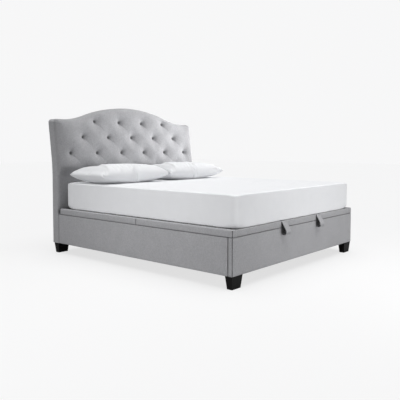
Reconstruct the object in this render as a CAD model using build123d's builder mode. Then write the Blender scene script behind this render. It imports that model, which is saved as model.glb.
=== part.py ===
from build123d import *
import os
from math import atan, cos, radians, sin, tan

# An end-lift ottoman bed, super king, in millimetres.
# Origin on the floor under the middle of the bed, +Z up, headboard at +Y, foot end at -Y.
# The left side is -X and the right side is +X, as seen from the foot end.

# Overall sizes
WIDTH = 1900
LENGTH = 2160
HALF_W = WIDTH / 2
FOOT_Y = -LENGTH / 2
BACK_Y = LENGTH / 2
FOOT_HEIGHT = 95
SPLIT_Z = 373
LID_TOP = 426
SIDES = (("left", -1), ("right", 1))

# Upholstery and boards of the storage base
PADDING = 18
WRAP = 6
BOARD = 24
RAIL_THICK = PADDING + BOARD
RAIL_INNER = HALF_W - RAIL_THICK
FOOTBOARD_THICK = 36
CORNER_GAP = 8
SOFT_EDGE = 8
POST = 36
BATTEN = 24
FLOOR_Z = FOOT_HEIGHT + WRAP + BATTEN
FLOOR_BOARD = 6
LEG_RADIUS = 20
LEG_PITCH = 600
BEAM = (44, 40)
FLOOR_FOOT_Y = -1006
FLOOR_HEAD_Y = 948
FLOOR_HALF_W = 902
ANGLE = 42
HEAD_RAIL_TOP = 340
BRACKET_LOW = 140
BRACKET_HIGH = 330
BOLT_RADIUS = 4
BOLT_PLAY = 0.3
BOLT_HEAD = (7, 5)

# Feet
FOOT_TOP = (124, 64)
FOOT_TIP = (100, 46)
FOOT_INSET = 4
REAR_FOOT_INSET = 13

# Headboard
HEAD_THICK = 100
HEAD_FRONT = BACK_Y - HEAD_THICK
HEAD_PADDING = 60
HEAD_BOARD = 18
HEAD_FRAME = 20
HEAD_SKIN = 15
BEND_Z = 830
BEND_RADIUS = 1600
LEAN = 7.5
BACK_BATTEN_WIDTH = 60
BACK_BATTEN_PITCH = 420
BACK_BATTEN_LOW = 125
BACK_BATTEN_HIGH = 1245
SHOULDER_X = 853
SHOULDER_Z = 1279
PEAK_Z = 1427
CROWN_SHARE = 0.63
CORNER_RADIUS = 35

# Deep buttoning: four staggered rows with sewn creases between the buttons, in a raised front
FIELD_LOW = 740
FIELD_RISE = 40
FIELD_ROUND = 34
TUFT_TOP_Z = 1267
TUFT_ROWS = (4, 5, 6, 5)
TUFT_PITCH_X = 321
TUFT_PITCH_Z = 158
CREASE_REACH = 80
CREASE_DEPTH = 15
DIMPLE_REACH = 88
DIMPLE_DEPTH = 24
BUTTON_RADIUS = 11
BUTTON_DOME = 7
BUTTON_RIM = 3
CUT_LIFT = 4

# Lid
LID_RAIL = 48
LID_PADDING = 12
LID_WRAP = 4
LEDGE = 40
LEDGE_TOP = 409
LID_HEAD_Y = 960
LID_SEAM_Y = -90
SLAT_COUNT = 14
SLAT_WIDTH = 53
SLAT_THICK = 8
SLAT_CROWN = 3
HOLDER = (34, 60, 14)
HOLDER_WALL = 2.2
SLAT_INNER_X = 4
SLAT_FIRST_Y = -975
SLAT_LAST_Y = 855
LEDGE_BOTTOM = SPLIT_Z + LID_WRAP
CENTRE_BAR = 40
CROSS_BAR = 25
TUBE_WALL = 2
JOINT_PLATE = 80

# Mattress, sheet and pillows
MATTRESS = (1806, 2008, 245)
MATTRESS_GAP = 5
SHEET = 2
CORNER_R = 48
TOP_R = 25
BOTTOM_R = 38
SHEET_TURN = 120
LIFT_OFF = 0.4
PILLOW = (865, 490)
PILLOW_SEAM = 80
PILLOW_PLACES = {"left": -492.5, "right": 375}
PILLOW_Y = 615
PILLOW_SECTIONS = (
    (-1, 245, 10, 10),
    (-0.82, 233, 62, 55),
    (-0.45, 227, 98, 84),
    (0, 225, 104, 88),
    (0.45, 227, 98, 84),
    (0.82, 233, 62, 55),
    (1, 245, 10, 10),
)

# Pull loops on the foot edge of the lid
LOOP_X = 280
LOOP_WIDTH = 68
LOOP_THICK = 5
LOOP_ROUND = 25
LOOP_DROP = 80
LOOP_OFF = 0.7
LOOP_TIP = 3.5
LOOP_DOWN = 5
LOOP_JOIN = 9
LOOP_FOLD = 0.6

# Lift mechanism, as (y, z) of each pivot at rest
REAR_PIVOT = (573.5, 186.0)
FRONT_PIVOT = (319.8, 160.9)
LID_REAR_PIVOT = (870.1, 349.3)
LID_FRONT_PIVOT = (751.5, 330.7)
FRONT_EYE = (748.3, 333.6)
STRUT_PIVOT = (722.0, 165.0)
STRUT_STUD = (405.0, 288.8)
ROD_EYE = (406.4, 292.3)
PLATE_X = 904
PLATE_THICK = 4
ARM_X = 892
ARM_THICK = 6
BRACKET_X = 885
STRUT_X = 871
ARM_WIDTH = 32
PIN_RADIUS = 5
HEAD_RADIUS = 9
CAP_RADIUS = 14
RUNNING = 0.05
OPEN_PIVOT_PLAY = 4.6
STRUT_RADIUS = 11
STRUT_WALL = 3
ROD_RADIUS = 5
EYE_RADIUS = 14
EYE_THICK = 14
CAP_THICK = 3
PLATE_ROUND = 24
TAB_FOOT = (505.0, 235.0)
TAB_ROUND = 13
BRACKET_WEB = ((742, 334), (882, 352), (882, SPLIT_Z), (742, SPLIT_Z))
BRACKET_FLANGE = 20
NECK_START = 8
BODY_START = 20
BODY_END = 300
PISTON_START = 30
PLATE_BOLTS = ((372, 164), (480, 174), (640, 170))

os.makedirs("parts", exist_ok=True)


def save(piece, name):
    """Label a finished piece and write it to its own file."""
    piece.part.label = name
    export_step(piece.part, f"parts/{name}.step")


def block(first, second, mode=Mode.ADD):
    """A square block between two opposite corners."""
    size = [abs(b - a) for a, b in zip(first, second)]
    middle = [(a + b) / 2 for a, b in zip(first, second)]
    with Locations(tuple(middle)):
        Box(*size, mode=mode)


def drill(bolts):
    """Bolt holes through the active piece, along each bolt's shank."""
    for seat, direction, length in bolts:
        with Locations(Plane(origin=seat, z_dir=direction)):
            Cylinder(
                BOLT_RADIUS + BOLT_PLAY,
                length + 1,
                align=(Align.CENTER, Align.CENTER, Align.MIN),
                mode=Mode.SUBTRACT,
            )


def frame_bolt_list():
    """Seat, direction and shank length of each bolt of the storage base."""
    bolts = []
    post_y = FOOT_Y + FOOTBOARD_THICK + POST
    for side, sign in SIDES:
        outward = (sign, 0, 0)
        for y, z in PLATE_BOLTS:
            bolts.append(((sign * PLATE_X, y, z), outward, BOARD))
        for z in (BRACKET_LOW + 30, BRACKET_HIGH - 30):
            bolts.append(((sign * PLATE_X, HEAD_FRONT - ANGLE / 2 - 3, z), outward, BOARD))
            flange_seat = (sign * (RAIL_INNER - ANGLE / 2 - 3), HEAD_FRONT - PLATE_THICK, z)
            bolts.append((flange_seat, (0, 1, 0), PLATE_THICK + HEAD_PADDING + HEAD_BOARD / 2))
        for z in (150, 320):
            bolts.append(((sign * (RAIL_INNER - POST), post_y - POST / 2 + 4, z), outward, POST + BOARD / 2))
        for z in (190, 280):
            bolts.append(((sign * (RAIL_INNER - POST / 2), post_y, z), (0, -1, 0), POST + BOARD / 2))
    return bolts


ALL_BOLTS = frame_bolt_list()


def side_layer(sign, distance, thick):
    """The upright plane that a flat piece is extruded from, by its distance from the middle."""
    return Plane.YZ.offset(distance if sign > 0 else -distance - thick)


def pin(sign, pivot, root, tip, radius, cap_radius):
    """A pivot pin across the bed from its root to its tip, with a cap beyond the tip."""
    step = 1 if tip > root else -1
    for start, end, round_radius in ((root, tip, radius), (tip, tip + step * CAP_THICK, cap_radius)):
        with Locations(Plane(origin=(sign * start, *pivot), z_dir=(sign * step, 0, 0))):
            Cylinder(round_radius, abs(end - start), align=(Align.CENTER, Align.CENTER, Align.MIN))


strut_run = Vector(0, ROD_EYE[0] - STRUT_PIVOT[0], ROD_EYE[1] - STRUT_PIVOT[1])
strut_length = strut_run.length
strut_along = strut_run.normalized()


def strut_round(sign, start, end, radius, mode=Mode.ADD):
    """A round length of the gas strut, by distances from its lower pivot."""
    origin = Vector(sign * STRUT_X, *STRUT_PIVOT) + strut_along * start
    with Locations(Plane(origin=origin, z_dir=strut_along)):
        Cylinder(radius, end - start, align=(Align.CENTER, Align.CENTER, Align.MIN), mode=mode)


# Headboard forms


def lean_at(height):
    """How far back the headboard leans at a height above its bend."""
    return (height - BEND_Z) * tan(radians(LEAN))


def lean_profile(front, back, top=1500):
    """Side view of one layer of the headboard: upright, then leaning back above the bend."""
    with BuildSketch(Plane.YZ.offset(-HALF_W)) as profile:
        with BuildLine():
            Polyline(
                (front, FOOT_HEIGHT),
                (front, BEND_Z),
                (front + lean_at(top), top),
                (back + lean_at(top), top),
                (back, BEND_Z),
                (back, FOOT_HEIGHT),
                close=True,
            )
        make_face()
        fillet(profile.vertices().group_by(Axis.Y)[1], radius=BEND_RADIUS)
    return profile.sketch


def camelback(inset):
    """Front view of the headboard: flat shoulders that sweep up to a low crown."""
    turn = 2 * atan((PEAK_Z - SHOULDER_Z) / SHOULDER_X)
    both_radii = SHOULDER_X / sin(turn)
    crown = both_radii * CROWN_SHARE
    hollow = both_radii - crown

    def hollow_point(angle):
        return (SHOULDER_X - hollow * sin(angle), SHOULDER_Z + hollow * (1 - cos(angle)))

    def crown_point(angle):
        return (crown * sin(angle), PEAK_Z - crown * (1 - cos(angle)))

    with BuildSketch(Plane.XZ) as outline:
        with BuildLine():
            Polyline((0, FOOT_HEIGHT), (HALF_W, FOOT_HEIGHT), (HALF_W, SHOULDER_Z), (SHOULDER_X, SHOULDER_Z))
            ThreePointArc((SHOULDER_X, SHOULDER_Z), hollow_point(turn / 2), hollow_point(turn))
            ThreePointArc(hollow_point(turn), crown_point(turn / 2), (0, PEAK_Z))
            mirror(about=Plane.YZ)
        make_face()
        corners = outline.vertices().filter_by_position(Axis.Y, SHOULDER_Z - 1, SHOULDER_Z + 1)
        fillet(corners.sort_by(Axis.X)[0], radius=CORNER_RADIUS)
        corners = outline.vertices().filter_by_position(Axis.Y, SHOULDER_Z - 1, SHOULDER_Z + 1)
        fillet(corners.sort_by(Axis.X)[-1], radius=CORNER_RADIUS)
        if inset:
            offset(amount=-inset, mode=Mode.REPLACE)
    return outline.sketch


tuft_plane = Plane(
    origin=(0, HEAD_FRONT - FIELD_RISE, BEND_Z),
    x_dir=(1, 0, 0),
    z_dir=(0, -cos(radians(LEAN)), sin(radians(LEAN))),
)


def tuft_rows():
    """Button centres on the headboard's front, row by row from the top."""
    rows = []
    for row, count in enumerate(TUFT_ROWS):
        up = (TUFT_TOP_Z - row * TUFT_PITCH_Z - BEND_Z) / cos(radians(LEAN))
        first = -(count - 1) / 2 * TUFT_PITCH_X
        rows.append([(first + i * TUFT_PITCH_X, up) for i in range(count)])
    return rows


def tuft_point(spot):
    """A spot of the tuft plane in space."""
    return tuft_plane.from_local_coords(Vector(spot[0], spot[1], 0))


def crease_lines(rows):
    """Each diagonal crease, from its highest button to its lowest."""
    lines = []
    for step in (-TUFT_PITCH_X / 2, TUFT_PITCH_X / 2):
        for index, row in enumerate(rows):
            for spot in row:
                above = rows[index - 1] if index else []
                if any(abs(spot[0] - step - other[0]) < 1 for other in above):
                    continue
                end = spot
                for lower in rows[index + 1 :]:
                    following = [other for other in lower if abs(end[0] + step - other[0]) < 1]
                    if not following:
                        break
                    end = following[0]
                if end is not spot:
                    lines.append((spot, end))
    return lines


rows = tuft_rows()
buttons = [spot for row in rows for spot in row]

# Headboard: padded front with buttons, on a board and a back frame


def front_rim(part, front):
    """The edges round the headboard's front face, without the lines across it where it bends."""
    found = part.edges().filter_by(lambda edge: (edge @ 0.5).Y < front + max(0, lean_at((edge @ 0.5).Z)) + 8)
    return found.filter_by(
        lambda edge: abs((edge @ 0.5).X) > HALF_W - 1
        or (edge @ 0.5).Z > SHOULDER_Z - CORNER_RADIUS
        or FIELD_LOW - 1 < (edge @ 0.5).Z < FIELD_LOW + 1
    )


with BuildPart() as headboard_pocket:
    extrude(lean_profile(HEAD_FRONT + HEAD_PADDING, BACK_Y + 20), amount=WIDTH)
    extrude(camelback(HEAD_SKIN), amount=2 * LENGTH, both=True, mode=Mode.INTERSECT)

with BuildPart() as raised_front:
    extrude(lean_profile(HEAD_FRONT - FIELD_RISE, HEAD_FRONT + FIELD_ROUND), amount=WIDTH)
    extrude(camelback(0), amount=2 * LENGTH, both=True, mode=Mode.INTERSECT)
    block((-HALF_W, FOOT_Y, 0), (HALF_W, BACK_Y, FIELD_LOW), mode=Mode.SUBTRACT)
    fillet(front_rim(raised_front, HEAD_FRONT - FIELD_RISE), radius=FIELD_ROUND)

with BuildPart() as headboard_cover:
    extrude(lean_profile(HEAD_FRONT, BACK_Y), amount=WIDTH)
    extrude(camelback(0), amount=2 * LENGTH, both=True, mode=Mode.INTERSECT)
    fillet(front_rim(headboard_cover, HEAD_FRONT), radius=14)
    add(raised_front.part)
    for high, low in crease_lines(rows):
        start = tuft_point(high)
        run = tuft_point(low) - start
        across = tuft_plane.z_dir.cross(run.normalized())
        with BuildSketch(Plane(origin=start, x_dir=across, z_dir=run)):
            with BuildLine():
                TangentArc((CREASE_REACH, CUT_LIFT), (0, -CREASE_DEPTH), tangent=(-1, 0))
                TangentArc((-CREASE_REACH, CUT_LIFT), (0, -CREASE_DEPTH), tangent=(1, 0))
                Polyline(
                    (-CREASE_REACH, CUT_LIFT),
                    (-CREASE_REACH, 2 * CUT_LIFT),
                    (CREASE_REACH, 2 * CUT_LIFT),
                    (CREASE_REACH, CUT_LIFT),
                )
            make_face()
        extrude(amount=run.length, mode=Mode.SUBTRACT)
    for spot in buttons:
        centre = tuft_point(spot)
        with BuildSketch(Plane(origin=centre, x_dir=(1, 0, 0), z_dir=tuft_plane.y_dir * -1)):
            with BuildLine():
                TangentArc((DIMPLE_REACH, CUT_LIFT), (BUTTON_RADIUS + 1, -DIMPLE_DEPTH), tangent=(-1, 0))
                Polyline(
                    (BUTTON_RADIUS + 1, -DIMPLE_DEPTH),
                    (0, -DIMPLE_DEPTH),
                    (0, 2 * CUT_LIFT),
                    (DIMPLE_REACH, 2 * CUT_LIFT),
                    (DIMPLE_REACH, CUT_LIFT),
                )
            make_face()
        revolve(axis=Axis(centre, tuft_plane.z_dir), mode=Mode.SUBTRACT)
    add(headboard_pocket.part, mode=Mode.SUBTRACT)
    drill(ALL_BOLTS)
save(headboard_cover, "headboard_cover")

board_front = HEAD_FRONT + HEAD_PADDING
board_back = board_front + HEAD_BOARD
frame_back = board_back + HEAD_FRAME

with BuildPart() as headboard_board:
    extrude(lean_profile(board_front, board_back), amount=WIDTH)
    extrude(camelback(HEAD_SKIN), amount=2 * LENGTH, both=True, mode=Mode.INTERSECT)
    drill(ALL_BOLTS)
save(headboard_board, "headboard_board")

with BuildPart() as headboard_battens:
    extrude(lean_profile(board_back, frame_back), amount=WIDTH)
    with BuildSketch(Plane.XZ):
        with Locations((0, (BACK_BATTEN_LOW + BACK_BATTEN_HIGH) / 2)):
            with GridLocations(BACK_BATTEN_PITCH, 0, 5, 1):
                Rectangle(BACK_BATTEN_WIDTH, BACK_BATTEN_HIGH - BACK_BATTEN_LOW)
    extrude(amount=2 * LENGTH, both=True, mode=Mode.INTERSECT)
save(headboard_battens, "headboard_battens")

with BuildPart() as headboard_back_cloth:
    extrude(lean_profile(frame_back, BACK_Y), amount=WIDTH)
    extrude(camelback(HEAD_SKIN), amount=2 * LENGTH, both=True, mode=Mode.INTERSECT)
save(headboard_back_cloth, "headboard_back_cloth")

with BuildPart() as headboard_buttons:
    for spot in buttons:
        seat = tuft_point(spot) - tuft_plane.z_dir * DIMPLE_DEPTH
        with BuildSketch(Plane(origin=seat, x_dir=(1, 0, 0), z_dir=tuft_plane.y_dir * -1)):
            with BuildLine():
                TangentArc((0, BUTTON_DOME), (BUTTON_RADIUS, BUTTON_RIM), tangent=(1, 0))
                Polyline((BUTTON_RADIUS, BUTTON_RIM), (BUTTON_RADIUS, 0), (0, 0), (0, BUTTON_DOME))
            make_face()
        revolve(axis=Axis(seat, tuft_plane.z_dir))
save(headboard_buttons, "headboard_buttons")

# Storage base: padded side rails and footboard on plain boards

rail_foot_y = FOOT_Y + FOOTBOARD_THICK + CORNER_GAP
board_low = FOOT_HEIGHT + WRAP
board_high = SPLIT_Z - WRAP

for side, sign in SIDES:
    with BuildPart() as side_rail_board:
        block(
            (sign * RAIL_INNER, rail_foot_y, board_low),
            (sign * (RAIL_INNER + BOARD), HEAD_FRONT, board_high),
        )
        drill(ALL_BOLTS)
    save(side_rail_board, f"side_rail_board_{side}")

    with BuildPart() as side_rail_cover:
        block((sign * RAIL_INNER, rail_foot_y, FOOT_HEIGHT), (sign * HALF_W, HEAD_FRONT, SPLIT_Z))
        outer = side_rail_cover.edges().filter_by(Axis.Y).filter_by(lambda edge: abs((edge @ 0.5).X) > HALF_W - 1)
        fillet(outer, radius=SOFT_EDGE)
        block(
            (sign * (RAIL_INNER - 1), rail_foot_y - 1, board_low),
            (sign * (RAIL_INNER + BOARD), HEAD_FRONT + 1, board_high),
            mode=Mode.SUBTRACT,
        )
    save(side_rail_cover, f"side_rail_cover_{side}")

footboard_inner = FOOT_Y + FOOTBOARD_THICK

with BuildPart() as footboard_board:
    block(
        (-HALF_W + PADDING, FOOT_Y + PADDING, board_low),
        (HALF_W - PADDING, footboard_inner, board_high),
    )
    drill(ALL_BOLTS)
save(footboard_board, "footboard_board")

with BuildPart() as footboard_cover:
    block((-HALF_W, FOOT_Y, FOOT_HEIGHT), (HALF_W, footboard_inner, SPLIT_Z))
    face_rim = footboard_cover.edges().filter_by(lambda edge: (edge @ 0.5).Y < FOOT_Y + 1)
    fillet(face_rim, radius=SOFT_EDGE)
    block(
        (-HALF_W + PADDING, FOOT_Y + PADDING, board_low),
        (HALF_W - PADDING, footboard_inner + 1, board_high),
        mode=Mode.SUBTRACT,
    )
save(footboard_cover, "footboard_cover")

with BuildPart() as corner_posts:
    for side, sign in SIDES:
        block(
            (sign * (RAIL_INNER - POST), footboard_inner, board_low),
            (sign * RAIL_INNER, footboard_inner + POST, board_high),
        )
    drill(ALL_BOLTS)
save(corner_posts, "corner_posts")

with BuildPart() as floor_battens:
    for side, sign in SIDES:
        block(
            (sign * (RAIL_INNER - BATTEN), footboard_inner + POST, board_low),
            (sign * RAIL_INNER, FLOOR_HEAD_Y - 10, FLOOR_Z),
        )
save(floor_battens, "floor_battens")

with BuildPart() as head_rail:
    block(
        (-RAIL_INNER + ANGLE, HEAD_FRONT - BATTEN, board_low),
        (RAIL_INNER - ANGLE, HEAD_FRONT, HEAD_RAIL_TOP),
    )
save(head_rail, "head_rail")

with BuildPart() as headboard_brackets:
    for side, sign in SIDES:
        block(
            (sign * (RAIL_INNER - ANGLE), HEAD_FRONT - PLATE_THICK, BRACKET_LOW),
            (sign * RAIL_INNER, HEAD_FRONT, BRACKET_HIGH),
        )
        block(
            (sign * PLATE_X, HEAD_FRONT - ANGLE, BRACKET_LOW),
            (sign * RAIL_INNER, HEAD_FRONT, BRACKET_HIGH),
        )
    drill(ALL_BOLTS)
save(headboard_brackets, "headboard_brackets")

with BuildPart() as frame_bolts:
    for seat, direction, length in ALL_BOLTS:
        with Locations(Plane(origin=seat, z_dir=direction)):
            Cylinder(BOLT_HEAD[0], BOLT_HEAD[1], align=(Align.CENTER, Align.CENTER, Align.MAX))
            Cylinder(BOLT_RADIUS, length, align=(Align.CENTER, Align.CENTER, Align.MIN))
save(frame_bolts, "frame_bolts")

with BuildPart() as centre_beam:
    block((-BEAM[0] / 2, footboard_inner, FLOOR_Z - BEAM[1]), (BEAM[0] / 2, HEAD_FRONT - BATTEN, FLOOR_Z))
save(centre_beam, "centre_beam")

with BuildPart() as centre_legs:
    with GridLocations(0, LEG_PITCH, 1, 3):
        Cylinder(LEG_RADIUS, FLOOR_Z - BEAM[1], align=(Align.CENTER, Align.CENTER, Align.MIN))
save(centre_legs, "centre_legs")

for end, near, far in (("foot", FLOOR_FOOT_Y, -1), ("head", 1, FLOOR_HEAD_Y)):
    with BuildPart() as floor_panel:
        block((-FLOOR_HALF_W, near, FLOOR_Z), (FLOOR_HALF_W, far, FLOOR_Z + FLOOR_BOARD))
    save(floor_panel, f"floor_panel_{end}")

for end, foot_y in (
    ("front", FOOT_Y + FOOT_INSET + FOOT_TOP[1] / 2),
    ("rear", BACK_Y - REAR_FOOT_INSET - FOOT_TOP[1] / 2),
):
    for side, sign in SIDES:
        foot_x = sign * (HALF_W - FOOT_INSET - FOOT_TOP[0] / 2)
        with BuildPart() as bed_foot:
            with BuildSketch(Plane(origin=(foot_x, foot_y, 0))):
                Rectangle(*FOOT_TIP)
            with BuildSketch(Plane(origin=(foot_x, foot_y, FOOT_HEIGHT))):
                Rectangle(*FOOT_TOP)
            loft()
        save(bed_foot, f"foot_{end}_{side}")

# Lift mechanism: on each side a base plate, two arms, a lid bracket and a gas strut

eye_x = STRUT_X - EYE_THICK / 2
stud_x = eye_x - 1

for side, sign in SIDES:
    plate_layer = side_layer(sign, PLATE_X, PLATE_THICK)
    arm_layer = side_layer(sign, ARM_X, ARM_THICK)
    eye_layer = side_layer(sign, eye_x, EYE_THICK)

    with BuildPart() as base_plate:
        with BuildSketch(plate_layer):
            with Locations(REAR_PIVOT, FRONT_PIVOT, STRUT_PIVOT):
                Circle(PLATE_ROUND)
            make_hull()
        extrude(amount=PLATE_THICK)
        drill(ALL_BOLTS)
    save(base_plate, f"base_plate_{side}")

    with BuildPart() as rear_arm:
        with BuildSketch(arm_layer):
            with Locations(REAR_PIVOT, LID_REAR_PIVOT):
                Circle(ARM_WIDTH / 2)
            make_hull()
            with Locations(REAR_PIVOT, LID_REAR_PIVOT):
                Circle(PIN_RADIUS + RUNNING, mode=Mode.SUBTRACT)
        extrude(amount=ARM_THICK)
    save(rear_arm, f"rear_arm_{side}")

    with BuildPart() as front_arm:
        with BuildSketch(arm_layer):
            with Locations(FRONT_PIVOT, FRONT_EYE):
                Circle(ARM_WIDTH / 2)
            make_hull()
        extrude(amount=ARM_THICK)
        with BuildSketch(arm_layer):
            with Locations(FRONT_PIVOT, STRUT_STUD, TAB_FOOT):
                Circle(TAB_ROUND)
            make_hull()
        extrude(amount=ARM_THICK)
        with BuildSketch(arm_layer):
            with Locations(FRONT_PIVOT):
                Circle(PIN_RADIUS + RUNNING)
            with Locations(FRONT_EYE):
                Circle(PIN_RADIUS + OPEN_PIVOT_PLAY)
        extrude(amount=ARM_THICK, mode=Mode.SUBTRACT)
        pin(sign, STRUT_STUD, ARM_X, stud_x, BOLT_RADIUS, CAP_RADIUS)
    save(front_arm, f"front_arm_{side}")

    with BuildPart() as lid_bracket:
        bracket_layer = side_layer(sign, BRACKET_X, PLATE_THICK)
        with BuildSketch(bracket_layer):
            with Locations(LID_REAR_PIVOT, LID_FRONT_PIVOT):
                Circle(ARM_WIDTH / 2)
            make_hull()
        extrude(amount=PLATE_THICK)
        with BuildSketch(bracket_layer):
            with BuildLine():
                Polyline(*BRACKET_WEB, close=True)
            make_face()
        extrude(amount=PLATE_THICK)
        block(
            (sign * (BRACKET_X - BRACKET_FLANGE), BRACKET_WEB[0][0], SPLIT_Z),
            (sign * (BRACKET_X + PLATE_THICK), BRACKET_WEB[1][0], LEDGE_BOTTOM),
        )
    save(lid_bracket, f"lid_bracket_{side}")

    with BuildPart() as gas_cylinder:
        with BuildSketch(eye_layer):
            with Locations(STRUT_PIVOT):
                Circle(NECK_START + 2)
        extrude(amount=EYE_THICK)
        strut_round(sign, NECK_START, BODY_START, ROD_RADIUS + 1)
        strut_round(sign, BODY_START, BODY_END, STRUT_RADIUS)
        strut_round(sign, BODY_START + 4, BODY_END - 6, STRUT_RADIUS - STRUT_WALL, Mode.SUBTRACT)
        strut_round(sign, BODY_END - 7, BODY_END + 1, ROD_RADIUS + RUNNING, Mode.SUBTRACT)
        with BuildSketch(eye_layer):
            with Locations(STRUT_PIVOT):
                Circle(BOLT_RADIUS + RUNNING)
        extrude(amount=EYE_THICK, mode=Mode.SUBTRACT)
    save(gas_cylinder, f"gas_cylinder_{side}")

    with BuildPart() as gas_rod:
        with BuildSketch(eye_layer):
            with Locations(ROD_EYE):
                Circle(EYE_RADIUS)
                Circle(BOLT_RADIUS + OPEN_PIVOT_PLAY, mode=Mode.SUBTRACT)
        extrude(amount=EYE_THICK)
        strut_round(sign, PISTON_START, strut_length - EYE_RADIUS + 2, ROD_RADIUS)
        strut_round(sign, PISTON_START, PISTON_START + 8, STRUT_RADIUS - STRUT_WALL - 0.1)
    save(gas_rod, f"gas_rod_{side}")

with BuildPart() as base_pins:
    for side, sign in SIDES:
        for pivot in (REAR_PIVOT, FRONT_PIVOT):
            pin(sign, pivot, PLATE_X, ARM_X - 0.5, PIN_RADIUS, HEAD_RADIUS)
        pin(sign, STRUT_PIVOT, PLATE_X, stud_x, BOLT_RADIUS, HEAD_RADIUS)
save(base_pins, "base_pins")

with BuildPart() as lid_pins:
    for side, sign in SIDES:
        plate_face = BRACKET_X + PLATE_THICK
        arm_face = ARM_X + ARM_THICK + 0.5
        pin(sign, LID_REAR_PIVOT, plate_face, arm_face, PIN_RADIUS, HEAD_RADIUS)
        pin(sign, LID_FRONT_PIVOT, plate_face, arm_face, PIN_RADIUS, CAP_RADIUS)
save(lid_pins, "lid_pins")

# Lid: padded rails in halves on rebated timber, steel bars and sprung slats

rail_inner = HALF_W - LID_RAIL
core_outer = HALF_W - LID_PADDING
core_top = LID_TOP - WRAP
foot_core_y = FOOT_Y + LID_PADDING
foot_core_back = FOOT_Y + LID_RAIL
head_core_y = LID_HEAD_Y - LID_PADDING + 2
head_rail_y = LID_HEAD_Y - LID_RAIL

for end, near, far in (("foot", FOOT_Y, LID_SEAM_Y - 1), ("head", LID_SEAM_Y + 1, LID_HEAD_Y)):
    for side, sign in SIDES:
        with BuildPart() as lid_cover:
            block((sign * rail_inner, near, SPLIT_Z), (sign * HALF_W, far, LID_TOP))
            rim = lid_cover.edges().filter_by(
                lambda edge: abs((edge @ 0.5).X) > HALF_W - 1 and abs((edge @ 0.5).Y - LID_SEAM_Y) > 5
            )
            if end == "foot":
                rim = rim + lid_cover.edges().filter_by(Axis.X).filter_by(lambda edge: (edge @ 0.5).Y < FOOT_Y + 1)
            fillet(rim, radius=SOFT_EDGE)
            block(
                (sign * (rail_inner - 1), max(near, foot_core_y) - (end == "head"), LEDGE_BOTTOM),
                (sign * core_outer, min(far, head_core_y) + (end == "foot"), core_top),
                mode=Mode.SUBTRACT,
            )
        save(lid_cover, f"lid_cover_{end}_{side}")

for end, near, far, ledge_far in (
    ("foot", foot_core_back, LID_SEAM_Y, LID_SEAM_Y),
    ("head", LID_SEAM_Y, head_core_y, head_rail_y),
):
    for side, sign in SIDES:
        with BuildPart() as lid_core:
            block((sign * rail_inner, near, LEDGE_BOTTOM), (sign * core_outer, far, core_top))
            block((sign * (rail_inner - LEDGE), near, LEDGE_BOTTOM), (sign * rail_inner, ledge_far, LEDGE_TOP))
        save(lid_core, f"lid_core_{end}_{side}")

with BuildPart() as lid_foot_core:
    block((-core_outer, foot_core_y, LEDGE_BOTTOM), (core_outer, foot_core_back, core_top))
save(lid_foot_core, "lid_foot_core")

with BuildPart() as lid_foot_cover:
    block((-rail_inner, FOOT_Y, SPLIT_Z), (rail_inner, foot_core_back, LID_TOP))
    rim = lid_foot_cover.edges().filter_by(Axis.X).filter_by(lambda edge: (edge @ 0.5).Y < FOOT_Y + 1)
    fillet(rim, radius=SOFT_EDGE)
    block(
        (-rail_inner - 1, foot_core_y, LEDGE_BOTTOM),
        (rail_inner + 1, foot_core_back + 1, core_top),
        mode=Mode.SUBTRACT,
    )
save(lid_foot_cover, "lid_foot_cover")

with BuildPart() as lid_head_rail:
    block((-rail_inner, head_rail_y, SPLIT_Z), (rail_inner, LID_HEAD_Y, LID_TOP))
    rim = lid_head_rail.edges().filter_by(Axis.X).filter_by(lambda edge: (edge @ 0.5).Y > LID_HEAD_Y - 1)
    fillet(rim, radius=SOFT_EDGE)
save(lid_head_rail, "lid_head_rail")

with BuildPart() as lid_centre_bar:
    half = CENTRE_BAR / 2
    block((-half, foot_core_back, LEDGE_BOTTOM), (half, head_rail_y, LEDGE_TOP))
    block(
        (-half + TUBE_WALL, foot_core_back - 1, LEDGE_BOTTOM + TUBE_WALL),
        (half - TUBE_WALL, head_rail_y + 1, LEDGE_TOP - TUBE_WALL),
        mode=Mode.SUBTRACT,
    )
save(lid_centre_bar, "lid_centre_bar")

with BuildPart() as lid_cross_bar:
    half = CROSS_BAR / 2
    reach = rail_inner - 4
    block((-reach, LID_SEAM_Y - half, LEDGE_BOTTOM - CROSS_BAR), (reach, LID_SEAM_Y + half, LEDGE_BOTTOM))
    block(
        (-reach - 1, LID_SEAM_Y - half + TUBE_WALL, LEDGE_BOTTOM - CROSS_BAR + TUBE_WALL),
        (reach + 1, LID_SEAM_Y + half - TUBE_WALL, LEDGE_BOTTOM - TUBE_WALL),
        mode=Mode.SUBTRACT,
    )
save(lid_cross_bar, "lid_cross_bar")

with BuildPart() as lid_joint_plates:
    for side, sign in SIDES:
        inner = rail_inner - LEDGE
        block(
            (sign * (inner - PLATE_THICK), LID_SEAM_Y - JOINT_PLATE, LEDGE_BOTTOM + 2),
            (sign * inner, LID_SEAM_Y + JOINT_PLATE, LEDGE_TOP - 2),
        )
save(lid_joint_plates, "lid_joint_plates")

slat_rows = [SLAT_FIRST_Y + i * (SLAT_LAST_Y - SLAT_FIRST_Y) / (SLAT_COUNT - 1) for i in range(SLAT_COUNT)]
holder_x = rail_inner - LEDGE
slat_low = LEDGE_TOP + 3

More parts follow.
